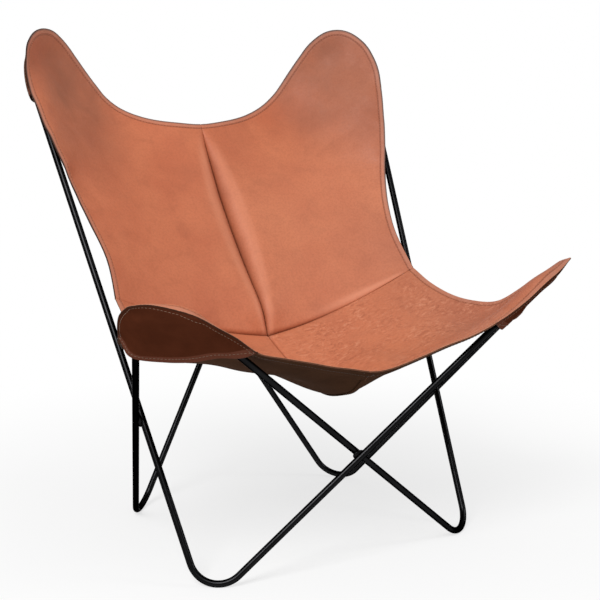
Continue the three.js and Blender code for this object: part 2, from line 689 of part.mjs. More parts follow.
// Both panels of one hand, worked out on the right-hand side.
function halfSling(backCorners, frontCorners) {
  const backLoop = loopFrame(backCorners, BACK_TOP_BEND, vec(-1, -1, 1));
  const frontLoop = loopFrame(frontCorners, FRONT_TOP_BEND, vec(-1, 1, 1));
  const crease = [CREASE_MIDDLE, ...CREASE, backLoop.onOuter(WAIST)];
  const backInner = BACK_WING_INNER.map(backLoop.onInner);
  const frontInner = FRONT_WING_INNER.map(frontLoop.onInner);
  const backShift = backLoop.top.clone().sub(BACK_TOP);
  const frontShift = frontLoop.top.clone().sub(FRONT_TOP);
  const back = halfPanel({
    loop: backLoop,
    rod: centreLine(backCorners, BACK_TOP_BEND),
    lines: {
      seam: BACK_SEAM,
      crease,
      edge: eased(TOP_EDGE.map(backLoop.onInner), backInner[0], backShift),
      inner: backInner,
      tip: BACK_WING_TIP.map(backLoop.onMiddle),
      outer: BACK_WING_OUTER.map(backLoop.onOuter),
      side: BACK_SIDE.map(backLoop.onOuter),
    },
    mouthBow: BACK_MOUTH_BOW,
    rests: restPoints(backLoop, BACK_RESTS_INNER, BACK_RESTS_OUTER),
    belly: [],
    plateAxes: BACK_AXES,
  });
  const seat = halfPanel({
    loop: frontLoop,
    rod: centreLine(frontCorners, FRONT_TOP_BEND),
    lines: {
      seam: SEAT_SEAM,
      crease,
      edge: eased(FRONT_EDGE.map(frontLoop.onInner), frontInner[0], frontShift),
      inner: frontInner,
      tip: FRONT_WING_TIP.map(frontLoop.onMiddle),
      outer: FRONT_WING_OUTER.map(frontLoop.onOuter),
      side: SEAT_SIDE.map(frontLoop.onOuter),
    },
    mouthBow: FRONT_MOUTH_BOW,
    rests: restPoints(frontLoop, FRONT_RESTS_INNER, FRONT_RESTS_OUTER),
    belly: SEAT_BELLY,
    plateAxes: SEAT_AXES,
  });

  // Along the middle both hands share one upright direction; along the crease both panels do.
  for (const { body } of [back, seat]) {
    const column = body[0];
    column.forEach((node, j) => {
      const ahead = column[Math.min(j + 1, column.length - 1)];
      const behind = column[Math.max(j - 1, 0)];
      const along = ahead.p.clone().sub(behind.p);
      const upright = vec(0, -along.z, along.y).normalize();
      node.n = upright.dot(node.n) < 0 ? upright.negate() : upright;
    });
  }
  back.body.forEach((column, i) => {
    const shared = column[0];
    const own = shared.n.clone();
    shared.n.add(seat.body[i][0].n).normalize();
    shared.reach = 1 / shared.n.dot(own);
    seat.body[i][0] = shared;
  });
  return { back, seat };
}

const right = halfSling([loops.b[1], loops.b[2], loops.b[3]], [loops.a[3], loops.a[2], loops.a[1]]);
const left = halfSling(
  [loops.a[1], loops.a[0], loops.a[3]].map(mirrored),
  [loops.b[3], loops.b[0], loops.b[1]].map(mirrored),
);

// The left hand goes over to its own side and takes the right hand's middle line.
{
  const seen = new Set();
  for (const panel of [left.back, left.seat]) {
    for (const node of [...panel.body.flat(), ...panel.wing.flat()]) {
      if (seen.has(node)) continue;
      seen.add(node);
      for (const point of [node.p, node.n, node.pocket]) if (point) point.x *= -1;
    }
  }
  left.back.body[0] = right.back.body[0];
  left.seat.body[0] = right.seat.body[0];
}

// Sheets of leather over chosen cells of the net

function cells(net, [firstI, lastI], [firstJ, lastJ]) {
  const found = [];
  for (let i = firstI; i < lastI; i++) {
    for (let j = firstJ; j < lastJ; j++) {
      found.push([net[i][j], net[i + 1][j], net[i + 1][j + 1], net[i][j + 1]]);
    }
  }
  return found;
}

const turned = (quads) => quads.map((quad) => [...quad].reverse());
const fixed = (node, offset) => node.p.clone().addScaledVector(node.n, offset * node.reach);

function sheet(quads, top, bottom) {
  const order = new Map();
  quads.flat().forEach((node) => {
    if (!order.has(node)) order.set(node, order.size);
  });
  const nodes = [...order.keys()];
  const points = [...nodes.map(top), ...nodes.map(bottom)];
  const under = nodes.length;
  const triangles = [];
  const edges = new Map();
  for (const quad of quads) {
    const [a, b, c, d] = quad.map((node) => order.get(node));
    const flatAC = points[a].distanceTo(points[c]) < points[b].distanceTo(points[d]);
    const halves = flatAC ? [[a, b, c], [a, c, d]] : [[a, b, d], [b, c, d]];
    for (const [i, j, k] of halves) triangles.push([i, j, k], [under + i, under + k, under + j]);
    for (const [i, j] of [[a, b], [b, c], [c, d], [d, a]]) {
      const key = `${Math.min(i, j)} ${Math.max(i, j)}`;
      if (edges.has(key)) edges.set(key, null);
      else edges.set(key, [i, j]);
    }
  }
  for (const edge of edges.values()) {
    if (!edge) continue;
    const [i, j] = edge;
    triangles.push([j, i, under + i], [j, under + i, under + j]);
  }
  return solid(points, triangles);
}

// Small moves of edge nodes towards a neighbour, so that pieces end short of each other.
function movesOf(pairs) {
  const moves = new Map();
  for (const [node, towards, distance] of pairs) {
    const move = moves.get(node) ?? vec(0, 0, 0);
    moves.set(node, move.add(unit(node.p, towards.p).multiplyScalar(distance)));
  }
  return (offset) => (node) => fixed(node, offset).add(moves.get(node) ?? vec(0, 0, 0));
}

const leather = new THREE.MeshStandardMaterial({ color: 0xc87350, roughness: 0.55 });
const lining = new THREE.MeshStandardMaterial({ color: 0x4b3222, roughness: 0.8 });
const steel = new THREE.MeshStandardMaterial({ color: 0x141414, roughness: 0.4, metalness: 0.6 });

const chair = new THREE.Group();

function add(name, geometry, material) {
  const mesh = new THREE.Mesh(geometry, material);
  mesh.name = name;
  chair.add(mesh);
}

add('rod_loop_a', rodLoop('a'), steel);
add('rod_loop_b', rodLoop('b'), steel);
add('weld_front', weld([loops.a[1], loops.a[2]], [loops.b[0], loops.b[1]]), steel);
add('weld_back', weld([loops.a[3], loops.a[0]], [loops.b[2], loops.b[3]]), steel);
add('weld_left', weld([loops.a[0], loops.a[1]], [loops.b[3], loops.b[0]]), steel);
add('weld_right', weld([loops.a[2], loops.a[3]], [loops.b[1], loops.b[2]]), steel);

const LAST = right.back.body.length - 1;
const TOP_ROW = right.back.body[0].length - 1;
const MOUTH_ROW = TOP_ROW - (right.back.wing.length - 1);
const HEM_CELLS = HEM.length - 1;
const UNDER = -PANEL_THICKNESS / 2 - SEWN_GAP;

for (const [hand, halves] of [['right', right], ['left', left]]) {
  for (const [part, pocket, edgeName, sideName] of [
    ['back', 'back_pocket', 'top_facing', 'back_side_facing'],
    ['seat', 'front_pocket', 'front_facing', 'seat_side_facing'],
  ]) {
    const { body, wing } = halves[part];
    const seamNodes = body[0].map((node, j) => [node, body[1][j], SEAM_GAP / 2]);
    const creaseNodes = body.map((column) => [column[0], column[1], SEAM_GAP / 2]);
    const trimmed = movesOf([...seamNodes, ...creaseNodes]);
    const bodyCells = cells(body, [0, LAST], [0, TOP_ROW]);
    const wingCells = cells(wing, [0, wing.length - 1], [0, wing[0].length - 1]);
    const half = PANEL_THICKNESS / 2;
    const panel = sheet([...bodyCells, ...wingCells], trimmed(half), trimmed(-half));
    add(`${part}_panel_${hand}`, panel, leather);

    const inset = ([first, second]) => unit(first.pocket, second.pocket).multiplyScalar(MOUTH_INSET);
    const mouth = new Map(wing.map((line) => [line[0], inset(line)]));
    const flap = (offset) => (node) =>
      node.pocket.clone().addScaledVector(node.n, offset).add(mouth.get(node) ?? vec(0, 0, 0));
    const pouch = sheet(wingCells, flap(POCKET_THICKNESS / 2), flap(-POCKET_THICKNESS / 2));
    add(`${pocket}_${hand}`, pouch, lining);

    const edgeCells = cells(body, [0, LAST], [TOP_ROW - HEM_CELLS, TOP_ROW]);
    add(`${edgeName}_${hand}`, sheet(edgeCells, trimmed(UNDER), trimmed(UNDER - FACING_THICKNESS)), lining);
    const sideCells = cells(body, [LAST - HEM_CELLS, LAST], [0, MOUTH_ROW]);
    add(`${sideName}_${hand}`, sheet(sideCells, trimmed(UNDER), trimmed(UNDER - FACING_THICKNESS)), lining);
  }
}

// Tapes over the seams, on the underside
function tape(name, quads, ends) {
  const cut = movesOf(ends.map(([node, towards]) => [node, towards, SEWN_GAP]));
  add(name, sheet(quads, cut(UNDER), cut(UNDER - TAPE_THICKNESS)), lining);
}

for (const part of ['back', 'seat']) {
  const bodies = [right[part].body, left[part].body];
  const last = TOP_ROW - HEM_CELLS;
  const [rightCells, leftCells] = bodies.map((body) => cells(body, [0, 1], [1, last]));
  const quads = [...rightCells, ...turned(leftCells)];
  const columns = [bodies[0][0], bodies[0][1], bodies[1][1]];
  const ends = columns.flatMap((column) => [[column[1], column[2]], [column[last], column[last - 1]]]);
  tape(`${part}_seam_tape`, quads, ends);
}

const taped = LAST - HEM_CELLS;
const creaseBodies = [right.back, right.seat, left.back, left.seat].map(({ body }) => body);
const creaseCells = creaseBodies.flatMap((body, i) => {
  const strip = cells(body, [0, taped], [0, 1]);
  return i === 0 || i === 3 ? strip : turned(strip);
});
const creaseEnds = [right.back, left.back].map(({ body }) => [body[taped][0], body[taped - 1][0]]);
for (const body of creaseBodies) creaseEnds.push([body[taped][1], body[taped - 1][1]]);
tape('cross_seam_tape', creaseCells, creaseEnds);

// The origin is on the floor under the middle of the whole chair.
const middle = new THREE.Box3().setFromObject(chair).getCenter(vec(0, 0, 0));
chair.children.forEach((mesh) => mesh.geometry.translate(-middle.x, -middle.y, 0));

export default chair;
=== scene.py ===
import math

import bpy
import numpy as np
from mathutils import Matrix, Vector
from mathutils.bvhtree import BVHTree
from mathutils.noise import noise as perlin


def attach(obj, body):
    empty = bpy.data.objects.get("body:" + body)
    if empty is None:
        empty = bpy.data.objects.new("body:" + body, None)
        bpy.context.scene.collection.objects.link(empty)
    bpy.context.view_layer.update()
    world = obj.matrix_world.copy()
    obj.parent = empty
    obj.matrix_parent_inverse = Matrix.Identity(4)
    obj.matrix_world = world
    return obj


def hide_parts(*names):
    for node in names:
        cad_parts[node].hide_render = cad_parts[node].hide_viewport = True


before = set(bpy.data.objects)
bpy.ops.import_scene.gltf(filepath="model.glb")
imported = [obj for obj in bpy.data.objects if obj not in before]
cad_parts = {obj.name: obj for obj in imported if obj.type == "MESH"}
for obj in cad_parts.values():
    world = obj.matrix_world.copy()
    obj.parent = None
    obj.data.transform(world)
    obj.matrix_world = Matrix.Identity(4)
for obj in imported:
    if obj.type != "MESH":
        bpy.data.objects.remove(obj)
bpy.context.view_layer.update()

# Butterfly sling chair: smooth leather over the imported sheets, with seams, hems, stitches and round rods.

MM = 0.001
HANDS = ("left", "right")
SITTER = np.array([0.0, -0.1, 0.85])

# Leather: nets, and edges that are pared thin and rounded
REFINE_PANEL = 3
REFINE_STRIP = 2
CORNER_TURN = math.radians(45)
FACE_EDGE = 1.3
RAY_START = 0.01 * MM
EDGE_BULGE = 0.9 * MM
EDGE_STEPS = 4
PARED_EDGE = 0.3
PARED_REACH = 14 * MM
PROUD = 0.4 * MM
PROUD_REACHES = (3 * MM, 9 * MM)
EVEN_ROUNDS = 6
ROD_CLEAR = 0.25 * MM
ROD_LOOK = 12 * MM
RIPPLE = 0.9 * MM
RIPPLE_LENGTH = 75 * MM

# Seams, and the bindings behind them
SEWN_GAP = 0.3 * MM
SEWN_REACH = 22 * MM
SEAM_REACH = 3 * MM
SEAM_SHARPNESS = 4
SEAM_LEAST = 0.001 * MM
SWELL_RISE = 1.2
SWELL_REACH = 4.5
SWELL_SIDE_EASE = 0.5
CLOSE_SEAM = 0.2 * MM
BINDING_STEP = 4 * MM
BINDING_GAP = 0.3 * MM
BINDING_EASE = 4 * MM
BINDING_WALL = 9 * MM
BINDING_LIP = 0.2 * MM
BINDING_THICKNESS = 1.5 * MM
HEM_END = 24 * MM
SEAM_END = 9 * MM

# Hem and stitches
STITCH_INSET = 9.5 * MM
POCKET_INSET = 3.6 * MM
MOUTH_INSET = 9.5 * MM
MOUTH_EASE = 25
STITCH_PITCH = 5.6 * MM
STITCH_LENGTH = 4.2 * MM
STITCH_RADIUS = 0.42 * MM
STITCH_SUNK = 0.55
STITCH_SIDES = 6
STITCH_PROFILE = ((-0.5, 0.15), (-0.4, 0.75), (-0.15, 1.0), (0.15, 1.0), (0.4, 0.75), (0.5, 0.15))
GROOVE_DEPTH = 0.5 * MM
GROOVE_HALF = 1.3 * MM
SAMPLE_STEP = 1.0 * MM
MOUTH_REACH = 9 * MM
HEM_REACH = 2.5 * SEAM_REACH

# Rods
ROD_SIDES = 28
STRAIGHT = 25 * MM
BEND_CUTS = 3
SAME_RING = 0.25

SMALL = 1e-9
TINY = 1e-18
BATCH = 2000


def unit(v):
    return v / np.linalg.norm(v, axis=-1, keepdims=True)


def loop_tangents(points):
    """Directions along a closed line of points."""
    return unit(np.roll(points, -1, axis=0) - np.roll(points, 1, axis=0))


def lengths_along(points):
    """How far along a line each of its points lies."""
    return np.concatenate([[0], np.cumsum(np.linalg.norm(np.diff(points, axis=0), axis=1))])


def resampled(rows, along, steps):
    """Rows of values at places along a line, worked out at other steps along it."""
    return np.column_stack([np.interp(steps, along, column) for column in rows.T])


def smoothstep(x, low, high):
    t = np.clip((x - low) / (high - low), 0, 1)
    return t * t * (3 - 2 * t)


def bell(distance, reach):
    """A share that falls off softly from 1 over a reach."""
    return np.exp(-((distance / reach) ** 2))


def hermite(start, end, leave, arrive, t):
    """The point at a share t of a curve that leaves start and arrives at end in the given directions."""
    a = 2 * start - 2 * end + leave + arrive
    b = -3 * start + 3 * end - 2 * leave - arrive
    return ((a * t + b) * t + leave) * t + start


# Packed sheets


def node_mesh(name):
    """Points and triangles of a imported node, with shared corners joined."""
    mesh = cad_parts[name].data
    points = np.array([v.co for v in mesh.vertices], float)
    joined, index = np.unique(points.round(6), axis=0, return_inverse=True)
    triangles = index.reshape(-1)[np.array([p.vertices for p in mesh.polygons])]
    return joined, triangles


def wound_edges(triangles):
    """The three edges of each triangle, in its own order."""
    return triangles[:, [[0, 1], [1, 2], [2, 0]]]


def edges_of(triangles):
    return np.sort(wound_edges(triangles), axis=2)


def area_normals(points, triangles):
    a, b, c = (points[triangles[:, k]] for k in range(3))
    return np.cross(b - a, c - a) / 2


def vertex_normals(points, triangles):
    normals = np.zeros_like(points)
    face = unit(area_normals(points, triangles))
    for k in range(3):
        a, b, c = (points[triangles[:, (k + j) % 3]] for j in range(3))
        angle = np.arccos(np.clip((unit(b - a) * unit(c - a)).sum(axis=1), -1, 1))
        np.add.at(normals, triangles[:, k], face * angle[:, None])
    return unit(normals)


def connected(triangles):
    """A number for each triangle, shared by all that hang together by their edges."""
    _, edge = np.unique(edges_of(triangles).reshape(-1, 2), axis=0, return_inverse=True)
    edge = edge.reshape(-1, 3)
    group = np.arange(len(triangles))
    while True:
        lowest = np.full(edge.max() + 1, len(triangles))
        np.minimum.at(lowest, edge, group[:, None])
        spread = lowest[edge].min(axis=1)
        if (spread == group).all():
            return group
        group = spread


def thickness_of(points, triangles):
    """The usual depth of the solid straight under its triangles."""
    tree = BVHTree.FromPolygons(points.tolist(), triangles.tolist())
    normals = unit(area_normals(points, triangles))
    depths = []
    for centre, normal in zip(points[triangles].mean(axis=1), normals):
        hit = tree.ray_cast(Vector(centre - normal * RAY_START), Vector(-normal))
        if hit[3] is not None:
            depths.append(hit[3])
    return float(np.median(depths))


def upper_face(name):
    """The face of a packed sheet on the sitter's side, as points and triangles, and the sheet's thickness."""
    points, triangles = node_mesh(name)
    thickness = thickness_of(points, triangles)
    edges = edges_of(triangles)
    lengths = np.linalg.norm(points[edges[..., 0]] - points[edges[..., 1]], axis=2)
    faces = triangles[lengths.min(axis=1) > FACE_EDGE * thickness]
    group = connected(faces)
    largest = sorted(np.unique(group), key=lambda g: -(group == g).sum())[:2]
    towards = SITTER - points.mean(axis=0)
    for g in largest:
        chosen = faces[group == g]
        if area_normals(points, chosen).sum(axis=0) @ towards > 0:
            used, index = np.unique(chosen, return_inverse=True)
            return points[used], index.reshape(-1, 3), thickness
    raise ValueError(name + " has no face on the sitter's side")


# Smooth surfaces


class Plate:
    """A thin plate bent through points, over the flat that faces their mean direction."""

    def __init__(self, points, triangles):
        self.off = unit(area_normals(points, triangles).sum(axis=0))
        side = np.array([1.0, 0, 0]) if abs(self.off[0]) < 0.8 else np.array([0, 1.0, 0])
        self.along = unit(np.cross(self.off, side))
        self.across = np.cross(self.along, self.off)
        self.knots = self.flat(points)
        n = len(points)
        level = np.column_stack([np.ones(n), self.knots])
        matrix = np.zeros((n + 3, n + 3))
        matrix[:n, :n] = self.bump(self.knots, self.knots)
        matrix[:n, n:] = level
        matrix[n:, :n] = level.T
        heights = np.concatenate([points @ self.off, np.zeros(3)])
        answer = np.linalg.solve(matrix, heights)
        self.weights = answer[:n]
        self.level = answer[n:]

    def flat(self, points):
        return np.column_stack([points @ self.across, points @ self.along])

    @staticmethod
    def bump(a, b):
        squared = ((a[:, None] - b[None]) ** 2).sum(axis=2)
        return squared * np.log(np.maximum(squared, TINY))

    def at(self, flat):
        heights = self.bump(flat, self.knots) @ self.weights + self.level[0] + flat @ self.level[1:]
        return flat[:, :1] * self.across + flat[:, 1:] * self.along + heights[:, None] * self.off

    def normal(self, flat):
        away = flat[:, None] - self.knots[None]
        squared = np.maximum((away ** 2).sum(axis=2), TINY)
        pull = 2 * (np.log(squared) + 1) * self.weights
        slope = (pull[..., None] * away).sum(axis=1) + self.level[1:]
        return unit(self.off - slope[:, :1] * self.across - slope[:, 1:] * self.along)


def boundary_loop(triangles):
    """The edge points of a sheet in order, counter-clockwise seen from the sitter's side."""
    pairs = {tuple(edge) for edge in wound_edges(triangles).reshape(-1, 2)}
    following = {a: b for a, b in pairs if (b, a) not in pairs}
    start = min(following)
    loop = [start]
    while following[loop[-1]] != start:
        loop.append(following[loop[-1]])
    return loop


class Rim:
    """A smooth closed line through edge points, with corners where it turns sharply."""

    def __init__(self, flat):
        self.points = flat
        ahead = unit(np.roll(flat, -1, axis=0) - flat)
        behind = np.roll(ahead, 1, axis=0)
        turn = np.arccos(np.clip((ahead * behind).sum(axis=1), -1, 1))
        self.is_corner = turn > CORNER_TURN

    def at(self, k, t):
        """The point at a share t of the stretch from edge point k to the next."""
        n = len(self.points)
        p1, p2 = self.points[k], self.points[(k + 1) % n]
        p0 = 2 * p1 - p2 if self.is_corner[k] else self.points[k - 1]
        p3 = 2 * p2 - p1 if self.is_corner[(k + 1) % n] else self.points[(k + 2) % n]
        d0, d1, d2 = (max(np.linalg.norm(b - a) ** 0.5, SMALL) for a, b in ((p0, p1), (p1, p2), (p2, p3)))
        m1 = d1 * ((p1 - p0) / d0 - (p2 - p0) / (d0 + d1) + (p2 - p1) / d1)
        m2 = d1 * ((p2 - p1) / d1 - (p3 - p1) / (d1 + d2) + (p3 - p2) / d2)
        return hermite(p1, p2, m1, m2, t)


class Sheet:
    """A packed sheet made smooth: a fine net on its upper face, and the line round its edge."""

    def __init__(self, name, levels):
        points, triangles, self.thickness = upper_face(name)
        self.plate = Plate(points, triangles)
        loop = boundary_loop(triangles)
        self.rim = Rim(self.plate.flat(points[loop]))
        flat = self.plate.flat(points)
        stretches = {}
        for k, a in enumerate(loop):
            b = loop[(k + 1) % len(loop)]
            stretches[min(a, b), max(a, b)] = (k, 0.0, 1.0) if a < b else (k, 1.0, 0.0)
        for _ in range(levels):
            flat, triangles, stretches = self.halved(flat, triangles, stretches)
        self.flat, self.triangles = flat, triangles
        self.points = self.plate.at(flat)
        self.normals = self.plate.normal(flat)
        self.edge = np.array(boundary_loop(triangles))

    def halved(self, flat, triangles, stretches):
        """The net with each triangle cut in four, and the new edge points on the smooth rim."""
        pairs, index = np.unique(edges_of(triangles).reshape(-1, 2), axis=0, return_inverse=True)
        middle = (flat[pairs[:, 0]] + flat[pairs[:, 1]]) / 2
        count = len(flat)
        finer = {}
        for m, (a, b) in enumerate(pairs.tolist()):
            if (a, b) not in stretches:
                continue
            k, low, high = stretches[a, b]
            half = (low + high) / 2
            middle[m] = self.rim.at(k, half)
            finer[a, count + m] = (k, low, half)
            finer[b, count + m] = (k, high, half)
        ab, bc, ca = (count + index.reshape(-1, 3)).T
        a, b, c = triangles.T
        parts = [(a, ab, ca), (ab, b, bc), (ca, bc, c), (ab, bc, ca)]
        return np.vstack([flat, middle]), np.vstack([np.column_stack(part) for part in parts]), finer

    def edge_line(self):
        """Points, inward directions and normals every sample step along the edge."""
        closed = np.append(self.edge, self.edge[0])
        along = lengths_along(self.points[closed])
        spots = resampled(self.flat[closed], along, np.arange(0, along[-1], SAMPLE_STEP))
        points = self.plate.at(spots)
        normals = self.plate.normal(spots)
        return points, np.cross(normals, loop_tangents(points)), normals


def eased(values, reach):
    """Values round a closed line, each made the mean of its neighbours up to a reach on both sides."""
    return sum(np.roll(values, shift) for shift in range(-reach, reach + 1)) / (2 * reach + 1)


def nearest(points, samples):
    """For each point, the index of the nearest sample and the distance to it."""
    index = np.empty(len(points), int)
    distance = np.empty(len(points))
    for low in range(0, len(points), BATCH):
        some = slice(low, low + BATCH)
        squared = ((points[some, None] - samples[None]) ** 2).sum(axis=2)
        index[some] = squared.argmin(axis=1)
        distance[some] = np.sqrt(squared.min(axis=1))
    return index, distance


# Seams: lines where two panels meet, and how the leather rolls down into them


class Seam:
    """A line where two panels meet, with the roll of the leather into it and the swell beside it."""

    def __init__(self, line, normals, widths, depths, swells, swell_side=None):
        self.line, self.normals, self.swell_side = line, normals, swell_side
        share = np.linspace(0, 1, len(line))
        self.width, self.depth, self.swell = (
            np.interp(share, *zip(*table)) * MM for table in (widths, depths, swells)
        )

    def roll(self, points):
        """Moves that bend points down into the seam, and how much say the seam has at each one."""
        index, _ = nearest(points, self.line)
        up = self.normals[index]
        away = points - self.line[index]
        beside = away - (away * up).sum(axis=1, keepdims=True) * up
        distance = np.linalg.norm(beside, axis=1)
        sideways = beside / np.maximum(distance, SMALL)[:, None]
        width = np.maximum(self.width[index], SEAM_LEAST)
        angle = np.pi / 2 * (1 - np.clip(distance / width, 0, 1))
        depth = self.depth[index] * (1 - np.cos(angle))
        inward = np.minimum(distance, width) - width * (1 - np.sin(angle))
        swell = self.swell[index] * smoothstep(distance, 0, SWELL_RISE * width)
        swell *= 1 - smoothstep(distance, SWELL_RISE * width, SWELL_REACH * width)
        if self.swell_side is not None:
            swell *= smoothstep(sideways @ self.swell_side, 0, SWELL_SIDE_EASE)
        nearness = CLOSE_SEAM * np.clip(1 - distance / width, 0, 1)
        moves = (swell - depth)[:, None] * up - inward[:, None] * sideways
        return moves, depth + np.abs(swell) + nearness


def meeting_line(one, other, start):
    """The stretch of one panel's edge that lies against another panel, from the end nearer start."""
    points, _, normals = one.edge_line()
    theirs, _, their_normals = other.edge_line()
    index, distance = nearest(points, theirs)
    touching = distance < SEAM_REACH
    first = np.argmax(touching & ~np.roll(touching, 1))
    order = np.roll(np.arange(len(points)), -first)
    order = order[touching[order]]
    line = (points[order] + theirs[index[order]]) / 2
    up = unit(normals[order] + their_normals[index[order]])
    if np.linalg.norm(line[0] - start) > np.linalg.norm(line[-1] - start):
        return line[::-1], up[::-1]
    return line, up


panels = {
    (part, hand): Sheet(f"{part}_panel_{hand}", REFINE_PANEL) for part in ("back", "seat") for hand in HANDS
}
SEAM_TOP = np.array([0, 0.5, 1.0])
CREASE = np.array([0, 0, 0.3])
UPWARD = np.array([0, 0, 1.0])

# How wide and deep the leather rolls into each seam, and how far it swells beside it: each row holds a share
# of the seam's length and a size in millimetres.
BACK_WIDTHS = ((0, 6), (0.02, 8), (0.12, 17), (0.36, 28), (0.64, 25), (0.83, 17), (0.93, 12), (1, 9))
BACK_DEPTHS = ((0, 0), (0.02, 0.3), (0.12, 12), (0.36, 23), (0.64, 21), (0.83, 14), (0.93, 11), (1, 8))
BACK_SWELLS = ((0, 0), (0.12, 2), (0.36, 7), (0.64, 7), (0.83, 4), (0.93, 3), (1, 0))
CROSS_WIDTHS = ((0, 9), (0.3, 9), (0.7, 8), (1, 6))
CROSS_DEPTHS = ((0, 8), (0.2, 5), (0.4, 2), (0.55, 0.6), (0.7, 0.2), (0.96, 0), (1, 0))
CROSS_LEFT_DEPTHS = ((0, 8), (0.25, 5), (0.5, 1.2), (0.65, 0.2), (0.96, 0), (1, 0))
CROSS_SWELLS = ((0, 0), (0.2, 1), (0.5, 2), (0.85, 2.5), (0.95, 1), (1, 0))
CROSS_LEFT_SWELLS = ((0, 0), (0.2, 1), (0.45, 1.5), (0.7, 0), (1, 0))
SEAT_WIDTHS = ((0, 9), (0.3, 7), (1, 5))
SEAT_DEPTHS = ((0, 8), (0.15, 3.5), (0.3, 1.2), (0.95, 0.6), (1, 0))
SEAT_SWELLS = ((0, 0), (1, 0))

back_line = meeting_line(panels["back", "right"], panels["back", "left"], SEAM_TOP)
seat_line = meeting_line(panels["seat", "right"], panels["seat", "left"], CREASE)
left_line, right_line = (meeting_line(panels["back", hand], panels["seat", hand], CREASE) for hand in HANDS)
back_seam = Seam(*back_line, BACK_WIDTHS, BACK_DEPTHS, BACK_SWELLS)
seat_seam = Seam(*seat_line, SEAT_WIDTHS, SEAT_DEPTHS, SEAT_SWELLS)
cross_seams = [
    Seam(*left_line, CROSS_WIDTHS, CROSS_LEFT_DEPTHS, CROSS_LEFT_SWELLS, UPWARD),
    Seam(*right_line, CROSS_WIDTHS, CROSS_DEPTHS, CROSS_SWELLS, UPWARD),
]
seams = [back_seam, seat_seam, *cross_seams]

# Where the leather hangs a little off its net: each place's middle, the way that it leans and how far round
# that reaches, in millimetres.
TIP_LEANS = (
    ((-412, -287, 498), (6, 0.5, -7), 30),
    ((-402, -222, 454), (6.3, 0.5, -6.8), 48),
    ((-391, -193, 432), (2.9, -1.6, 0), 25),
    ((398, -336, 500), (8.5, -3, 12), 28),
    ((362, -322, 489), (0, 0, -6.5), 60),
    ((262, -374, 444), (0, 0, -5), 60),
    ((-345, 310, 915), (1.2, -0.6, -2.6), 60),
)
FRONT_EDGE_LEANS = (
    ((-222, -356, 417), (0, 0, -4), 30),
    ((-165, -342, 391), (0, 0, 3.2), 35),
    ((-110, -333, 371), (0, 0, 6.5), 40),
    ((-60, -331, 356), (0, 0, 6), 40),
    ((-15, -325, 346), (0, 0, 8), 40),
)
BELLY_LEANS = (
    ((-95, -200, 312), (0, 0, 13.5), 55),
    ((95, -200, 312), (0, 0, 13.5), 55),
    ((-100, -140, 310), (0, 0, 8), 50),
    ((100, -140, 310), (0, 0, 8), 50),
    ((0, -200, 290), (0, 0, -6), 60),
    ((0, -275, 315), (0, 0, -5), 40),
)
LEANS = TIP_LEANS + FRONT_EDGE_LEANS + BELLY_LEANS

# The same for the pockets: drawn in round the back rods, and long at the inner ends of the front mouths
POCKET_LEANS = (
    ((-380, 280, 848), (4.1, -2.2, 0), 40),
    ((380, 280, 848), (-4.1, -2.2, 0), 40),
    ((-240, -357, 424), (14, 2, -9.5), 45),
    ((-295, -295, 401), (0, 0, -5), 35),
    ((-365, -215, 395), (0, 0, 5), 36),
    ((-325, -255, 391), (0, 0, -2), 28),
    ((240, -357, 424), (-14, 2, -10), 50),
    ((300, -320, 415), (0, 0, -4), 45),
)


def lean(points, leans=LEANS):
    """Moves of points that lie near the places where the leather leans."""
    moves = np.zeros_like(points)
    for middle, way, reach in leans:
        distance = np.linalg.norm(points - np.array(middle) * MM, axis=1)
        moves += bell(distance, reach * MM)[:, None] * np.array(way) * MM
    return moves


# Painted shade along the seams and painted highlight on the folds beside them: strengths, the shares of
# a seam between which they come or go, and reaches, which are shares of the seam's width on the back and
# sizes elsewhere.
BACK_DARK, BACK_LIGHT = 0.7, 0.36
BACK_COMES = (0.03, 0.2)
BACK_VALLEY, BACK_FOLD = 0.42, 0.34
SEAT_DARK = 0.5
SEAT_GOES = (0.9, 0.96)
SEAT_LINE = 2.5 * MM
CROSS_DARK, CROSS_DARK_LOST, CROSS_LIGHT = 0.6, 0.55, 0.75
CROSS_DARK_GOES, CROSS_LIGHT_COMES = (0.1, 0.6), (0.2, 0.7)
CROSS_GOES = {"left": (0.3, 0.6), "right": (0.86, 0.97)}
CROSS_LINE = 5 * MM
CROSS_ABOVE = 2 * MM
FOLD_MIDDLE, FOLD_HALF = 9, 7
FOLD_TAPER, FOLD_TAPERS = 0.65, (0.5, 0.97)


def cross_tones(points, hand, line, index, share, distance):
    """Painted shade along half of the cross seam, and a painted highlight on the right half's fold above it.
    """
    stays = 1 - smoothstep(share, *CROSS_GOES[hand])
    strength = CROSS_DARK - CROSS_DARK_LOST * smoothstep(share, *CROSS_DARK_GOES)
    darker = stays * strength * bell(distance, CROSS_LINE)
    if hand == "left":
        return darker, np.zeros(len(points))
    above = smoothstep(points[:, 2] - line[index, 2], 0, CROSS_ABOVE)
    taper = 1 - FOLD_TAPER * smoothstep(share, *FOLD_TAPERS)
    fold = bell(distance / (MM * taper) - FOLD_MIDDLE, FOLD_HALF)
    return darker, CROSS_LIGHT * stays * above * smoothstep(share, *CROSS_LIGHT_COMES) * fold


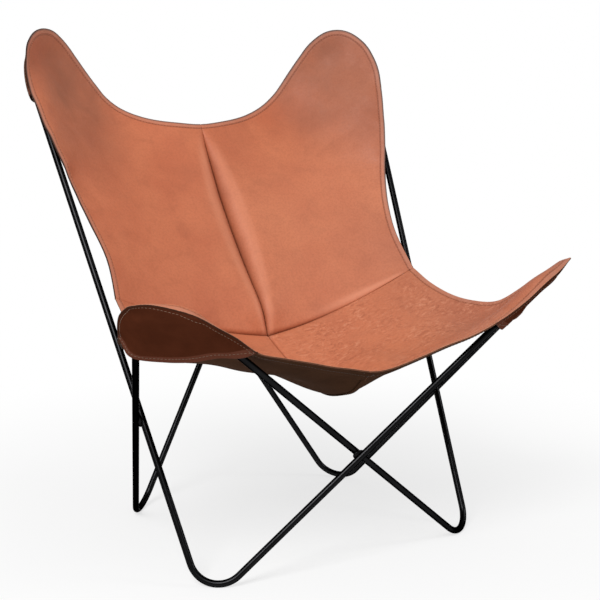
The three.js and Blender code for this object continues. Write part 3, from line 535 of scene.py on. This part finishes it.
def seam_tones(points):
    """The painted shade from the seams at each point, and the painted highlight from the folds beside them.
    """
    dark = np.zeros(len(points))
    light = np.zeros(len(points))
    for seam in seams:
        index, distance = nearest(points, seam.line)
        share = index / (len(seam.line) - 1)
        if seam is back_seam:
            strength = smoothstep(share, *BACK_COMES)
            reach = distance / np.maximum(seam.width[index], SEAM_LEAST)
            darker = BACK_DARK * strength * bell(reach, BACK_VALLEY)
            lighter = BACK_LIGHT * strength * bell(reach - 1.0, BACK_FOLD)
        elif seam is seat_seam:
            darker = SEAT_DARK * bell(distance, SEAT_LINE) * (1 - smoothstep(share, *SEAT_GOES))
            lighter = np.zeros(len(points))
        else:
            hand = HANDS[cross_seams.index(seam)]
            darker, lighter = cross_tones(points, hand, seam.line, index, share, distance)
        dark = np.maximum(dark, darker)
        light = np.maximum(light, lighter)
    return dark, light


def settle(points, normals):
    """Leather as it hangs: rolled down into the seams, leaning off its net in places, with a slow ripple."""
    moves, sizes = zip(*(seam.roll(points) for seam in seams))
    weights = np.array(sizes) ** SEAM_SHARPNESS + TINY
    weights /= weights.sum(axis=0)
    rolled = (weights[..., None] * np.array(moves)).sum(axis=0)
    waves = np.array([perlin(Vector(p / RIPPLE_LENGTH)) for p in points])
    return points + rolled + lean(points) + RIPPLE * waves[:, None] * normals


rods = []
for rod_name in ("rod_loop_a", "rod_loop_b"):
    rod_points, rod_triangles = node_mesh(rod_name)
    rods.append(BVHTree.FromPolygons(rod_points.tolist(), rod_triangles.tolist()))


def rod_push(points):
    """Moves that take points that lie in a rod, or close to it, clear of it."""
    moves = np.zeros_like(points)
    for k, point in enumerate(points):
        for tree in rods:
            spot, normal, _, _ = tree.find_nearest(Vector(point), ROD_LOOK)
            if spot is None:
                continue
            height = (Vector(point) - spot).dot(normal)
            if height < ROD_CLEAR:
                moves[k] += np.array(normal) * (ROD_CLEAR - height)
    return moves


def evened(moves, triangles, held):
    """Moves of a mesh's points made the mean of their neighbours' in rounds, but for the held points."""
    edges = wound_edges(triangles).reshape(-1, 2)
    pairs = np.vstack([edges, edges[:, ::-1]])
    counts = np.bincount(pairs[:, 0], minlength=len(moves))[:, None]
    for _ in range(EVEN_ROUNDS):
        sums = np.zeros_like(moves)
        np.add.at(sums, pairs[:, 0], moves[pairs[:, 1]])
        means = sums / np.maximum(counts, 1)
        means[held] = moves[held]
        moves = means
    return moves


def add_object(name, data):
    made = bpy.data.objects.new(name, data)
    bpy.context.scene.collection.objects.link(made)
    return made


def add_mesh(name, points, faces, *materials, smooth=True):
    mesh = bpy.data.meshes.new(name)
    mesh.from_pydata(points.tolist(), [], faces)
    mesh.validate()
    mesh.polygons.foreach_set("use_smooth", [smooth] * len(mesh.polygons))
    for material in materials:
        mesh.materials.append(material)
    return add_object(name, mesh)


def pared(rim_distance):
    """The share of its thickness that leather keeps at a distance from a pared edge."""
    return PARED_EDGE + (1 - PARED_EDGE) * smoothstep(rim_distance, 0, PARED_REACH)


class Leather:
    """A closed piece of leather on a sheet: grain side, flesh side and a rounded edge between.

    A piece sewn under a panel comes up by what the panel is pared at its edge, and a pocket's sewn edge is
    drawn to the panel's own.
    """

    def __init__(self, name, sheet, materials, rim, panel=None, is_pocket=False):
        self.sheet = sheet
        self.leans = POCKET_LEANS if is_pocket else ()
        self.rest = sheet.points + lean(sheet.points, self.leans)
        self.rim_distance = nearest(self.rest, rim)[1]
        upper = settle(sheet.points, sheet.normals) + lean(sheet.points, self.leans)
        normals = vertex_normals(upper, sheet.triangles)
        keep = pared(self.rim_distance)
        if panel is None:
            rise = -GROOVE_DEPTH * bell(self.rim_distance - STITCH_INSET, GROOVE_HALF)
        else:
            rise = panel.sheet.thickness * (1 - keep)
        upper += rise[:, None] * normals
        edge = sheet.edge
        edge_distance = self.rim_distance[edge]
        sewn_edge = edge[edge_distance < MOUTH_REACH]
        if is_pocket:
            upper += self.drawn_to(panel, upper, sewn_edge)
            normals = vertex_normals(upper, sheet.triangles)
        lower = upper - (sheet.thickness * keep)[:, None] * normals
        push = rod_push(upper if is_pocket else lower)
        if is_pocket or panel is None:
            push = evened(push, sheet.triangles, sewn_edge)
        upper += push
        lower += push
        outward = -np.cross(normals[edge], loop_tangents(upper[edge]))
        if panel is not None:
            proud = PROUD * (1 - smoothstep(edge_distance, *PROUD_REACHES))
            upper[edge] += outward * proud[:, None]
            lower[edge] += outward * proud[:, None]
        is_round = is_pocket | (edge_distance < SEAM_REACH)
        self.upper, self.lower = upper, lower
        self.piece = self.close(name, outward * (EDGE_BULGE * is_round)[:, None], materials)
        self.mark("rim", self.rim_distance)

    def drawn_to(self, panel, upper, sewn):
        """Moves that draw the sewn stretch of the edge, and leather near it, to the panel's lower edge."""
        theirs = panel.sheet.edge
        rests = panel.sheet.points[theirs]
        index, _ = nearest(self.rest[sewn], rests)
        tangents = loop_tangents(rests)[index]
        along = ((self.rest[sewn] - rests[index]) * tangents).sum(axis=1, keepdims=True)
        down = unit(panel.lower[theirs] - panel.upper[theirs])
        moves = (panel.lower[theirs] + SEWN_GAP * down)[index] + along * tangents - upper[sewn]
        near, distance = nearest(self.rest, self.rest[sewn])
        moves = moves[near] * (1 - smoothstep(distance, 0, SEWN_REACH))[:, None]
        return evened(moves, self.sheet.triangles, sewn)

    def close(self, name, bulge, materials):
        """The solid piece: both faces, and rings of points round the edge between them."""
        edge, triangles, count = self.sheet.edge, self.sheet.triangles, len(self.upper)
        points = [self.upper, self.lower]
        rings = [edge]
        for step in range(1, EDGE_STEPS):
            angle = math.pi * step / EDGE_STEPS
            down = (1 - math.cos(angle)) / 2
            ring = self.upper[edge] * (1 - down) + self.lower[edge] * down
            points.append(ring + bulge * math.sin(angle))
            rings.append(2 * count + (step - 1) * len(edge) + np.arange(len(edge)))
        rings.append(edge + count)
        sides = []
        for high, low in zip(rings, rings[1:]):
            sides += np.column_stack([np.roll(high, -1), high, low, np.roll(low, -1)]).tolist()
        faces = triangles.tolist() + (triangles[:, ::-1] + count).tolist() + sides
        made = add_mesh(name, np.vstack(points), faces, *materials)
        index = [0] * len(triangles) + [1] * len(triangles) + [2] * len(sides)
        made.data.polygons.foreach_set("material_index", index)
        return made

    def mark(self, name, values):
        """Gives the piece an attribute, the same on its two faces and nothing on the edge between."""
        bare = np.zeros(len(self.sheet.edge) * (EDGE_STEPS - 1))
        values = np.concatenate([values, values, bare]).astype(np.float32)
        self.piece.data.attributes.new(name, "FLOAT", "POINT").data.foreach_set("value", values)


def tube_faces(rings, sides, is_closed=False):
    """Faces that join rings of points, with caps at the ends unless the tube closes on itself."""
    faces = []
    for k in range(rings if is_closed else rings - 1):
        here, there = k * sides, (k + 1) % rings * sides
        for s in range(sides):
            t = (s + 1) % sides
            faces.append((here + s, here + t, there + t, there + s))
    if not is_closed:
        faces.append(tuple(reversed(range(sides))))
        faces.append(tuple(range((rings - 1) * sides, rings * sides)))
    return faces


def binding(name, seam_lines, start, stop, material):
    """A folded strip of leather round the turned edges behind a seam, short of the seam's ends."""
    line, up, depth = (np.concatenate(rows) for rows in zip(*seam_lines))
    along = lengths_along(line)
    steps = np.arange(start, along[-1] - stop, BINDING_STEP)
    line, up = (resampled(rows, along, steps) for rows in (line, up))
    depth = np.interp(steps, along, depth)
    tangents = unit(np.gradient(line, axis=0))
    sides = unit(np.cross(up, tangents))
    leather_depth = panels["back", "right"].thickness
    inner = leather_depth + BINDING_GAP
    outer = inner + BINDING_THICKNESS
    points = []
    for middle, above, side, deep in zip(line, unit(up), sides, depth):
        floor_depth = deep + BINDING_GAP + leather_depth * (1 - smoothstep(deep, 0, BINDING_EASE))
        wall = min(BINDING_WALL, deep / 2)
        half = [(inner, 0), (inner, wall), (outer, wall + BINDING_LIP)]
        half += [(outer, -BINDING_THICKNESS / 2), (inner, -BINDING_THICKNESS)]
        profile = half + [(-x, z) for x, z in reversed(half)]
        points += [middle + x * side + (z - floor_depth) * above for x, z in profile]
    return add_mesh(name, np.array(points), tube_faces(len(line), len(profile)), material, smooth=False)


def capsule():
    """A stitch of unit size along X: round in section, drawn in at both ends."""
    points = []
    for x, size in STITCH_PROFILE:
        for k in range(STITCH_SIDES):
            angle = 2 * math.pi * k / STITCH_SIDES
            points.append((x, size * math.cos(angle), size * math.sin(angle)))
    faces = [face[::-1] for face in tube_faces(len(STITCH_PROFILE), STITCH_SIDES)]
    return np.array(points), faces


STITCH = capsule()


def stitch_row(name, leather, is_free, inset, side, material):
    """Stitches along the free edge of a piece, an inset from it, on its upper (1) or lower (-1) face."""
    sheet = leather.sheet
    points, inward, _ = sheet.edge_line()
    spots = sheet.plate.flat(points + inward * np.broadcast_to(inset, len(points))[:, None])
    normals = sheet.plate.normal(spots)
    guesses = sheet.plate.at(spots)
    guesses = settle(guesses, normals) + lean(guesses, leather.leans)
    if side < 0:
        guesses = guesses - sheet.thickness * normals
    face = leather.upper if side > 0 else leather.lower
    tree = BVHTree.FromPolygons(face.tolist(), sheet.triangles.tolist())
    found = [tree.find_nearest(Vector(guess)) for guess in guesses]
    line = np.array([spot[0] for spot in found])
    normals = np.array([spot[1] for spot in found])
    line = line + side * STITCH_SUNK * STITCH_RADIUS * normals
    shape, faces = STITCH
    all_points, all_faces = [], []
    walked = STITCH_PITCH
    for k, up in enumerate(normals):
        if k:
            walked += np.linalg.norm(line[k] - line[k - 1])
        if walked < STITCH_PITCH or not is_free[k]:
            continue
        walked = 0.0
        tangent = unit(line[(k + 2) % len(line)] - line[k - 2])
        sideways = unit(np.cross(up, tangent))
        local = shape[:, :1] * STITCH_LENGTH * tangent
        local = local + STITCH_RADIUS * (shape[:, 1:2] * sideways + shape[:, 2:] * up)
        base = len(all_points) * len(shape)
        all_points.append(line[k] + local)
        all_faces += [tuple(base + i for i in face) for face in faces]
    return add_mesh(name, np.vstack(all_points), all_faces, material)


# Rods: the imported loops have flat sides, so their rings' middles are joined again by round tube


def ring_middles(name):
    """The middles of a rod's rings, in order, and the rod's radius."""
    points, triangles = node_mesh(name)
    normals = area_normals(points, triangles)
    volume = (points[triangles].mean(axis=1) * normals).sum() / 3
    radius = 2 * volume / np.linalg.norm(normals, axis=1).sum()
    guesses = points - radius * vertex_normals(points, triangles)
    ring = np.full(len(points), -1)
    middles = []
    for k, guess in enumerate(guesses):
        near = [r for r, middle in enumerate(middles) if np.linalg.norm(guess - middle) < SAME_RING * radius]
        if not near:
            near = [len(middles)]
            middles.append(guess)
        ring[k] = near[0]
    middles = np.array([points[ring == r].mean(axis=0) for r in range(len(middles))])
    radius = float(np.linalg.norm(points - middles[ring], axis=1).mean())
    beside = {r: set() for r in range(len(middles))}
    for a, b in edges_of(triangles).reshape(-1, 2):
        if ring[a] != ring[b]:
            beside[ring[a]].add(ring[b])
            beside[ring[b]].add(ring[a])
    order = [0]
    while len(order) < len(middles):
        order.append(next(r for r in beside[order[-1]] if r not in order))
    return middles[order], radius


def round_path(middles):
    """The rod's middle line: straight legs, and bends cut finer along their arcs."""
    ahead = np.roll(middles, -1, axis=0) - middles
    length = np.linalg.norm(ahead, axis=1)
    way = ahead / length[:, None]
    is_leg = length > STRAIGHT
    behind = np.roll(way, 1, axis=0)
    after_leg = np.roll(is_leg, 1)[:, None]
    tangents = np.where(is_leg[:, None], way, np.where(after_leg, behind, unit(way + behind)))
    path = []
    for k, start in enumerate(middles):
        path.append(start)
        if is_leg[k]:
            continue
        end = middles[(k + 1) % len(middles)]
        first, last = tangents[k] * length[k], tangents[(k + 1) % len(middles)] * length[k]
        path += [hermite(start, end, first, last, cut / BEND_CUTS) for cut in range(1, BEND_CUTS)]
    return np.array(path)


def round_rod(name, node):
    """A closed round tube along a packed loop, with its underside at the floor where it stands on it."""
    middles, radius = ring_middles(node)
    path = round_path(middles)
    count = len(path)
    tangents = loop_tangents(path)
    side = unit(np.cross(tangents[0], [0, 0, 1.0]))
    sides = []
    for tangent in tangents:
        side = unit(side - (side @ tangent) * tangent)
        sides.append(side)
    end = unit(sides[-1] - (sides[-1] @ tangents[0]) * tangents[0])
    other = np.cross(tangents[0], sides[0])
    twist = math.atan2(end @ other, end @ sides[0])
    turns = 2 * math.pi * np.arange(ROD_SIDES) / ROD_SIDES - twist * np.arange(count)[:, None] / count
    across, above = (rows[:, None] for rows in (np.array(sides), np.cross(tangents, sides)))
    rings = np.cos(turns)[..., None] * across + np.sin(turns)[..., None] * above
    points = (path[:, None] + radius * rings).reshape(-1, 3)
    points[:, 2] = np.maximum(points[:, 2], 0)
    return add_mesh(name, points, tube_faces(count, ROD_SIDES, is_closed=True), STEEL)


# Materials


class Nodes:
    """Short forms for building the nodes of a material or a world."""

    def __init__(self, name, kind="materials", shader="Principled BSDF"):
        self.owner = getattr(bpy.data, kind).new(name)
        self.owner.use_nodes = True
        self.tree = self.owner.node_tree
        self.shader = self.tree.nodes[shader]

    def add(self, kind, inputs=None, **settings):
        node = self.tree.nodes.new(kind)
        for key, value in settings.items():
            setattr(node, key, value)
        for key, value in (inputs or {}).items():
            self.put(node.inputs[key], value)
        return node

    def put(self, socket, value):
        if isinstance(value, bpy.types.NodeSocket):
            self.tree.links.new(value, socket)
        else:
            socket.default_value = value

    def place(self):
        return self.add("ShaderNodeTexCoord").outputs["Object"]

    def noise(self, scale, detail=4.0, roughness=0.5, vector=None, distortion=0.0):
        inputs = {"Scale": scale, "Detail": detail, "Roughness": roughness, "Distortion": distortion}
        inputs["Vector"] = vector or self.place()
        return self.add("ShaderNodeTexNoise", inputs).outputs["Fac"]

    def cells(self, scale):
        inputs = {"Scale": scale, "Vector": self.place()}
        return self.add("ShaderNodeTexVoronoi", inputs, feature="DISTANCE_TO_EDGE").outputs["Distance"]

    def remap(self, value, low, high, to_low=0.0, to_high=1.0):
        inputs = {"Value": value, "From Min": low, "From Max": high, "To Min": to_low, "To Max": to_high}
        return self.add("ShaderNodeMapRange", inputs, interpolation_type="SMOOTHSTEP").outputs["Result"]

    def math(self, operation, a, b=0.0):
        return self.add("ShaderNodeMath", {0: a, 1: b}, operation=operation).outputs[0]

    def times(self, a, b):
        return self.math("MULTIPLY", a, b)

    def vector(self, operation, inputs):
        return self.add("ShaderNodeVectorMath", inputs, operation=operation).outputs

    def mix(self, share, a, b):
        return self.add("ShaderNodeMix", {0: share, 6: a, 7: b}, data_type="RGBA").outputs[2]

    def bump(self, height, distance, strength=1.0, normal=None):
        inputs = {"Height": height, "Distance": distance, "Strength": strength}
        if normal:
            inputs["Normal"] = normal
        return self.add("ShaderNodeBump", inputs).outputs["Normal"]

    def warped(self, place, scale, amount):
        """A place shifted by a slow noise, so that a pattern loses its regular look."""
        noise = self.add("ShaderNodeTexNoise", {"Scale": scale, "Detail": 2.0, "Vector": place})
        shift = self.vector("SUBTRACT", {0: noise.outputs["Color"], 1: (0.5, 0.5, 0.5)})[0]
        scaled = self.vector("SCALE", {0: shift, "Scale": amount})[0]
        return self.vector("ADD", {0: place, 1: scaled})[0]

    def attribute(self, name):
        return self.add("ShaderNodeAttribute", attribute_name=name).outputs["Fac"]

    def finish(self, **inputs):
        for key, value in inputs.items():
            self.put(self.shader.inputs[key.replace("_", " ")], value)
        return self.owner


def srgb(*levels):
    """A colour written as 0 to 255 values, in the linear form that shaders take."""
    shares = [level / 255 for level in levels]
    linear = [share / 12.92 if share <= 0.04045 else ((share + 0.055) / 1.055) ** 2.4 for share in shares]
    return (*linear, 1.0)


def tan_ground(m, across, height, mottle):
    """Clouded, mottled hide: painted sheen on the seat, painted shade on the right wing, darker wing tops."""
    colour = m.mix(m.remap(m.noise(5.0, 3.0, 0.55), 0.35, 0.68), srgb(200, 116, 79), srgb(186, 101, 67))
    colour = m.mix(m.remap(mottle, 0.45, 0.75, 0, 0.4), colour, srgb(166, 91, 61))
    # Painted sheen: the seat paler in its middle, where the light falls on it.
    pale = m.times(m.remap(across, -0.2, 0.15), m.remap(height, 0.75, 0.55))
    colour = m.mix(m.times(pale, 0.2), colour, srgb(214, 146, 113))
    far = m.times(m.remap(across, 0.15, 0.4), m.remap(height, 0.6, 0.5))
    colour = m.mix(m.times(far, 0.5), colour, srgb(166, 102, 78))
    # Darker towards the tops of the wings, in noisy patches.
    out = m.math("ABSOLUTE", across)
    inner = m.times(m.remap(out, 0.12, 0.24), m.remap(out, 0.37, 0.3, 0.3, 1.0))
    high = m.times(m.remap(height, 0.6, 0.84), inner)
    wing_darkening = m.times(high, m.remap(m.noise(7.0, 4.0, 0.6), 0.36, 0.64, 0.42, 0.85))
    colour = m.mix(wing_darkening, colour, srgb(145, 88, 63))
    # Painted shade over the middle of the right wing.
    shade = m.times(m.remap(across, 0.2, 0.36), m.remap(height, 0.55, 0.78, 0.0, 0.5))
    colour = m.mix(shade, colour, srgb(150, 92, 70))
    return m.mix(m.remap(m.noise(240.0, 3.0, 0.6), 0.4, 0.65, 0, 0.16), colour, srgb(140, 74, 48))


def tan_edges(m, colour, height):
    """Painted seam shade and fold highlight, a paler rim band, a burnished rim, and painted shade in the
    groove.
    """
    rim = m.attribute("rim")
    # Painted highlight on the folds beside the seams, and painted shade along the seams' creases.
    colour = m.mix(m.attribute("seam_highlight"), colour, srgb(226, 150, 117))
    colour = m.mix(m.attribute("seam_shade"), colour, srgb(122, 58, 33))
    # A paler band along the rim, broken up by noise.
    patchy = m.remap(m.noise(60.0, 3.0, 0.6), 0.3, 0.7, 0.5, 1.0)
    edge = m.times(m.remap(rim, 6.5 * MM, 8.5 * MM, 0.6, 0.0), patchy)
    colour = m.mix(edge, colour, srgb(184, 126, 104))
    burnished = m.times(m.remap(rim, 1.2 * MM, 3.2 * MM, 0.8, 0.0), m.remap(height, 0.5, 0.62))
    colour = m.mix(burnished, colour, srgb(108, 80, 70))
    # Painted shade in the groove that the stitches lie in.
    groove = m.math("ABSOLUTE", m.math("SUBTRACT", rim, STITCH_INSET))
    return m.mix(m.remap(groove, 0.7 * MM, 2.1 * MM, 0.6, 0.0), colour, srgb(112, 50, 28))


def seat_wrinkles(m, place, across, height):
    """The seat's wrinkles as a height, and how far they show at each place."""
    drawn = m.vector("MULTIPLY", {0: place, 1: (0.6, 1, 1)})[0]
    wrinkle = m.noise(150.0, 3.0, 0.65, vector=m.warped(drawn, 40.0, 0.025))
    middle = m.times(m.remap(across, -0.05, 0.1), m.remap(across, 0.34, 0.24))
    broken = m.remap(m.noise(16.0, 3.0, 0.6), 0.36, 0.58)
    spread = m.math("MAXIMUM", m.remap(m.noise(9.0, 3.0, 0.6), 0.45, 0.62), m.times(middle, broken))
    low = m.remap(height, 0.49, 0.4)
    return wrinkle, m.times(m.times(low, spread), m.attribute("on_seat"))


def tan_leather():
    m = Nodes("tan_leather")
    place = m.place()
    axes = m.add("ShaderNodeSeparateXYZ", {0: place}).outputs
    across, height = axes["X"], axes["Z"]
    mottle = m.noise(22.0, 5.0, 0.6, distortion=0.4)
    colour = tan_edges(m, tan_ground(m, across, height, mottle), height)
    wrinkle, shown = seat_wrinkles(m, place, across, height)
    # Painted shade in the seat wrinkles' troughs and painted highlight on their crests, over the bump below.
    colour = m.mix(m.times(shown, m.remap(wrinkle, 0.5, 0.36, 0.0, 0.42)), colour, srgb(150, 80, 54))
    colour = m.mix(m.times(shown, m.remap(wrinkle, 0.52, 0.66, 0.0, 0.42)), colour, srgb(224, 156, 124))
    normal = m.bump(wrinkle, 2.5 * MM, m.times(shown, 0.6))
    normal = m.bump(m.remap(m.cells(520.0), 0.0, 0.35), 0.35 * MM, 0.5, normal)
    normal = m.bump(m.noise(1400.0, 2.0, 0.6), 0.1 * MM, 0.5, normal)
    rough = m.remap(mottle, 0.3, 0.7, 0.46, 0.6)
    return m.finish(Base_Color=colour, Roughness=rough, Normal=normal, Specular_IOR_Level=0.4)


def flesh_side():
    m = Nodes("flesh_side")
    fuzz = m.noise(900.0, 4.0, 0.7)
    colour = m.mix(m.remap(m.noise(14.0, 4.0, 0.6), 0.3, 0.7), srgb(64, 42, 29), srgb(52, 33, 22))
    colour = m.mix(m.remap(fuzz, 0.35, 0.7, 0, 0.4), colour, srgb(80, 55, 40))
    normal = m.bump(fuzz, 0.25 * MM, 0.6)
    return m.finish(Base_Color=colour, Roughness=0.95, Normal=normal, Specular_IOR_Level=0.02)


def brown_leather():
    m = Nodes("brown_leather")
    colour = m.mix(m.remap(m.noise(10.0, 4.0, 0.6), 0.3, 0.7), srgb(79, 40, 25), srgb(66, 32, 19))
    # Painted shadow of the panel's edge on the pocket, darker near the sewn rim.
    colour = m.mix(m.remap(m.attribute("rim"), 5 * MM, 7 * MM, 0.6, 0.0), colour, srgb(58, 36, 26))
    colour = m.mix(m.remap(m.attribute("mouth"), 13.5 * MM, 15 * MM), srgb(95, 55, 42), colour)
    normal = m.bump(m.remap(m.cells(600.0), 0.0, 0.35), 0.14 * MM, 0.35)
    normal = m.bump(m.noise(1200.0, 2.0), 0.06 * MM, 0.5, normal)
    return m.finish(Base_Color=colour, Roughness=0.75, Normal=normal, Specular_IOR_Level=0.0)


def cut_edge(name, light, dark):
    m = Nodes(name)
    fibre = m.noise(500.0, 4.0, 0.7)
    colour = m.mix(m.remap(fibre, 0.3, 0.7), light, dark)
    normal = m.bump(fibre, 0.2 * MM, 0.5)
    return m.finish(Base_Color=colour, Roughness=0.7, Normal=normal, Specular_IOR_Level=0.1)


def thread(name, light, dark):
    m = Nodes(name)
    fibre = m.noise(2500.0, 2.0)
    colour = m.mix(m.remap(fibre, 0.3, 0.7), light, dark)
    return m.finish(Base_Color=colour, Roughness=0.7, Normal=m.bump(fibre, 0.1 * MM, 0.6), Sheen_Weight=0.2)


def black_steel():
    m = Nodes("black_steel")
    colour = m.mix(m.remap(m.noise(18.0, 4.0, 0.6), 0.3, 0.7), srgb(26, 26, 27), srgb(32, 32, 33))
    rough = m.remap(m.noise(90.0, 4.0, 0.6), 0.3, 0.7, 0.22, 0.3)
    normal = m.bump(m.noise(420.0, 3.0), 0.08 * MM, 0.4)
    grazing = (0.1, 0.1, 0.1, 1)
    return m.finish(Base_Color=colour, Roughness=rough, Normal=normal, Metallic=1.0, Specular_Tint=grazing)


TAN, FLESH, BROWN, STEEL = (make() for make in (tan_leather, flesh_side, brown_leather, black_steel))
EDGE = cut_edge("dark_edge", srgb(66, 42, 32), srgb(50, 32, 25))
# The seat panels' cut edge: pale as raw leather, and partly a painted highlight on the lit, rounded edge.
PALE_LIT_EDGE = cut_edge("pale_lit_edge", srgb(196, 136, 108), srgb(168, 108, 82))
HEM_EDGE = cut_edge("hem_edge", srgb(132, 90, 70), srgb(108, 70, 54))
TAN_THREAD = thread("tan_thread", srgb(196, 136, 102), srgb(160, 100, 70))
PALE_THREAD = thread("pale_thread", srgb(128, 97, 74), srgb(104, 76, 57))
DARK_THREAD = thread("dark_thread", srgb(68, 48, 35), srgb(54, 37, 27))


# Frame


def carried(piece, slot, *nodes):
    """A piece that rides on the frame's body, in place of the nodes that it stands for; its slot is not used.
    """
    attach(piece, "root")
    if nodes:
        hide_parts(*nodes)
    return piece


for loop in "ab":
    carried(round_rod(f"rod_{loop}", f"rod_loop_{loop}"), "black_steel", f"rod_loop_{loop}")
for node_name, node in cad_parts.items():
    if node_name.startswith("weld_"):
        node.data.materials.clear()
        node.data.materials.append(STEEL)


# Sling


def cut_size(sheet):
    """Width, length and area of a sheet before it was hung, in metres."""
    area = np.linalg.norm(area_normals(sheet.points, sheet.triangles), axis=1).sum()
    solid = np.column_stack([sheet.flat, np.zeros(len(sheet.flat))])
    spread = np.linalg.norm(area_normals(solid, sheet.triangles), axis=1).sum()
    width, length = np.ptp(sheet.flat, axis=0) * math.sqrt(area / spread)
    return (float(width), float(length)), float(area)


def hem(name, rim, top, edge):
    """A turned hem: its strip of leather and its stitches."""
    strip = Sheet(name, REFINE_STRIP)
    points, _, _ = strip.edge_line()
    on_rim = nearest(points, rim)[1] < HEM_REACH
    leather = Leather(name + "_strip", strip, (FLESH, FLESH, edge), rim, top)
    carried(leather.piece, "dark_leather", name)
    row = stitch_row(name + "_stitches", leather, on_rim, STITCH_INSET, -1, DARK_THREAD)
    return [leather.piece, carried(row, "dark_leather")]


def pocket(name, rim, top):
    """A pocket's flap, with a paler band along its mouth, and its stitches, set further in at the mouth."""
    flap = Sheet(name, REFINE_PANEL)
    points, _, _ = flap.edge_line()
    is_mouth = nearest(points, rim)[1] > MOUTH_REACH
    leather = Leather(name + "_flap", flap, (FLESH, BROWN, EDGE), rim, top, is_pocket=True)
    made = carried(leather.piece, "dark_leather", name)
    leather.mark("mouth", nearest(flap.points, points[is_mouth])[1])
    inset = eased(np.where(is_mouth, MOUTH_INSET, POCKET_INSET), MOUTH_EASE)
    row = stitch_row(name + "_stitches", leather, np.ones(len(points), bool), inset, -1, PALE_THREAD)
    carried(row, "dark_leather")
    size, area = cut_size(flap)


def sling_panel(part, hand, panel):
    """One panel of the sling with its stitches, hems and pocket."""
    is_back = part == "back"
    rim, _, _ = panel.edge_line()
    is_free = np.ones(len(rim), bool)
    for other in panels.values():
        if other is not panel:
            is_free &= nearest(rim, other.edge_line()[0])[1] > SEAM_REACH
    rim = rim[is_free]
    top = Leather(f"{part}_leather_{hand}", panel, (TAN, FLESH, EDGE if is_back else PALE_LIT_EDGE), rim)
    made = carried(top.piece, "tan_leather", f"{part}_panel_{hand}")
    # The seams' painted shade and their folds' painted highlight, carried to the shader as attributes.
    for tone, values in zip(("seam_shade", "seam_highlight"), seam_tones(panel.points)):
        top.mark(tone, values)
    top.mark("on_seat", np.full(len(panel.points), float(not is_back)))
    row = stitch_row(f"{part}_stitches_{hand}", top, is_free, STITCH_INSET, 1, TAN_THREAD)
    extras = [carried(row, "tan_leather")]
    for hem_name in ("top_facing" if is_back else "front_facing", f"{part}_side_facing"):
        extras += hem(f"{hem_name}_{hand}", rim, top, EDGE if is_back else HEM_EDGE)
    pocket(f"back_pocket_{hand}" if is_back else f"front_pocket_{hand}", rim, top)
    size, area = cut_size(panel)


for (part, hand), panel in panels.items():
    sling_panel(part, hand, panel)


def sewn(seam, reverse=False):
    """A seam's line, its upward directions and its depths."""
    rows = (seam.line + lean(seam.line), seam.normals, seam.depth)
    return tuple(row[::-1] for row in rows) if reverse else rows


for tape_name, seam_lines, stop in (
    ("back_seam_tape", [sewn(back_seam)], SEAM_END),
    ("seat_seam_tape", [sewn(seat_seam, True)], SEAM_END),
    ("cross_seam_tape", [sewn(cross_seams[0], True), sewn(cross_seams[1])], HEM_END),
):
    tape = binding(tape_name + "_strip", seam_lines, HEM_END, stop, FLESH)
    carried(tape, "dark_leather", tape_name)


# Stage: floor, lights and the photograph's camera

FLOOR_REACH = 8.0
FLOOR_SIDES = 96
GLOW_DISTANCES = (0.2, 1.3)
GLOW_SHARES = (0.7, 1.0)
WORLD_LIGHT = 0.42
LAMP_AIM = Vector((0, 0, 0.5))
# Each lamp's name, place, width and power
LAMPS = (
    ("key", Vector((-1.9, -1.5, 2.6)), 1.5, 78),
    ("fill", Vector((2.4, -1.6, 2.2)), 0.75, 18),
)


def pale_floor():
    """A floor that looks white, the more so further out, and is plain and pale to the light on it."""
    m = Nodes("pale_floor")
    away = m.vector("LENGTH", {0: m.place()})["Value"]
    far = m.remap(away, *GLOW_DISTANCES, *GLOW_SHARES)
    tint = m.mix(m.noise(3.0), srgb(243, 243, 243), srgb(247, 247, 247))
    m.finish(Base_Color=tint, Roughness=0.9)
    rays = m.add("ShaderNodeLightPath").outputs
    seen = rays["Is Camera Ray"]
    for kind in ("Glossy", "Transmission"):
        seen = m.math("MAXIMUM", seen, rays[f"Is {kind} Ray"])
    glow = m.add("ShaderNodeEmission", {"Color": (1, 1, 1, 1), "Strength": 1.0}).outputs[0]
    blend = m.add("ShaderNodeMixShader", {0: m.times(seen, far), 1: m.shader.outputs[0], 2: glow})
    m.tree.links.new(blend.outputs[0], m.tree.nodes["Material Output"].inputs["Surface"])
    return m.owner


bpy.ops.mesh.primitive_circle_add(vertices=FLOOR_SIDES, radius=FLOOR_REACH, fill_type="NGON")
floor = bpy.context.object
floor.name = "floor"
floor.data.materials.append(pale_floor())

studio = Nodes("studio", "worlds", "Background")
is_seen = studio.add("ShaderNodeLightPath").outputs["Is Camera Ray"]
strength = studio.remap(is_seen, 0, 1, WORLD_LIGHT, 1.0)
bpy.context.scene.world = studio.finish(Color=(1, 1, 1, 1), Strength=strength)

for name, place, width, power in LAMPS:
    light = bpy.data.lights.new(name, "AREA")
    light.shape = "DISK"
    light.size = width
    light.energy = power
    lamp = add_object(name, light)
    lamp.location = place
    lamp.rotation_euler = (LAMP_AIM - place).to_track_quat("-Z", "Y").to_euler()

AZIMUTH, ELEVATION, ROLL = (math.radians(angle) for angle in (-28.559, 10.019, -0.576))
CAMERA = (-1.0839, -2.0772, 0.8339)
FOCAL_PIXELS = 1282.2
PICTURE_PIXELS = 600
SENSOR = 36

data = bpy.data.cameras.new("camera")
data.sensor_width = SENSOR
data.lens = FOCAL_PIXELS / PICTURE_PIXELS * SENSOR
stand = Matrix.Translation(CAMERA)
for angle, axis in ((AZIMUTH, "Z"), (math.pi / 2 - ELEVATION, "X"), (ROLL, "Z")):
    stand = stand @ Matrix.Rotation(angle, 4, axis)
camera = add_object("camera", data)
camera.matrix_world = stand
bpy.context.scene.camera = camera
bpy.context.scene.view_settings.view_transform = "Standard"
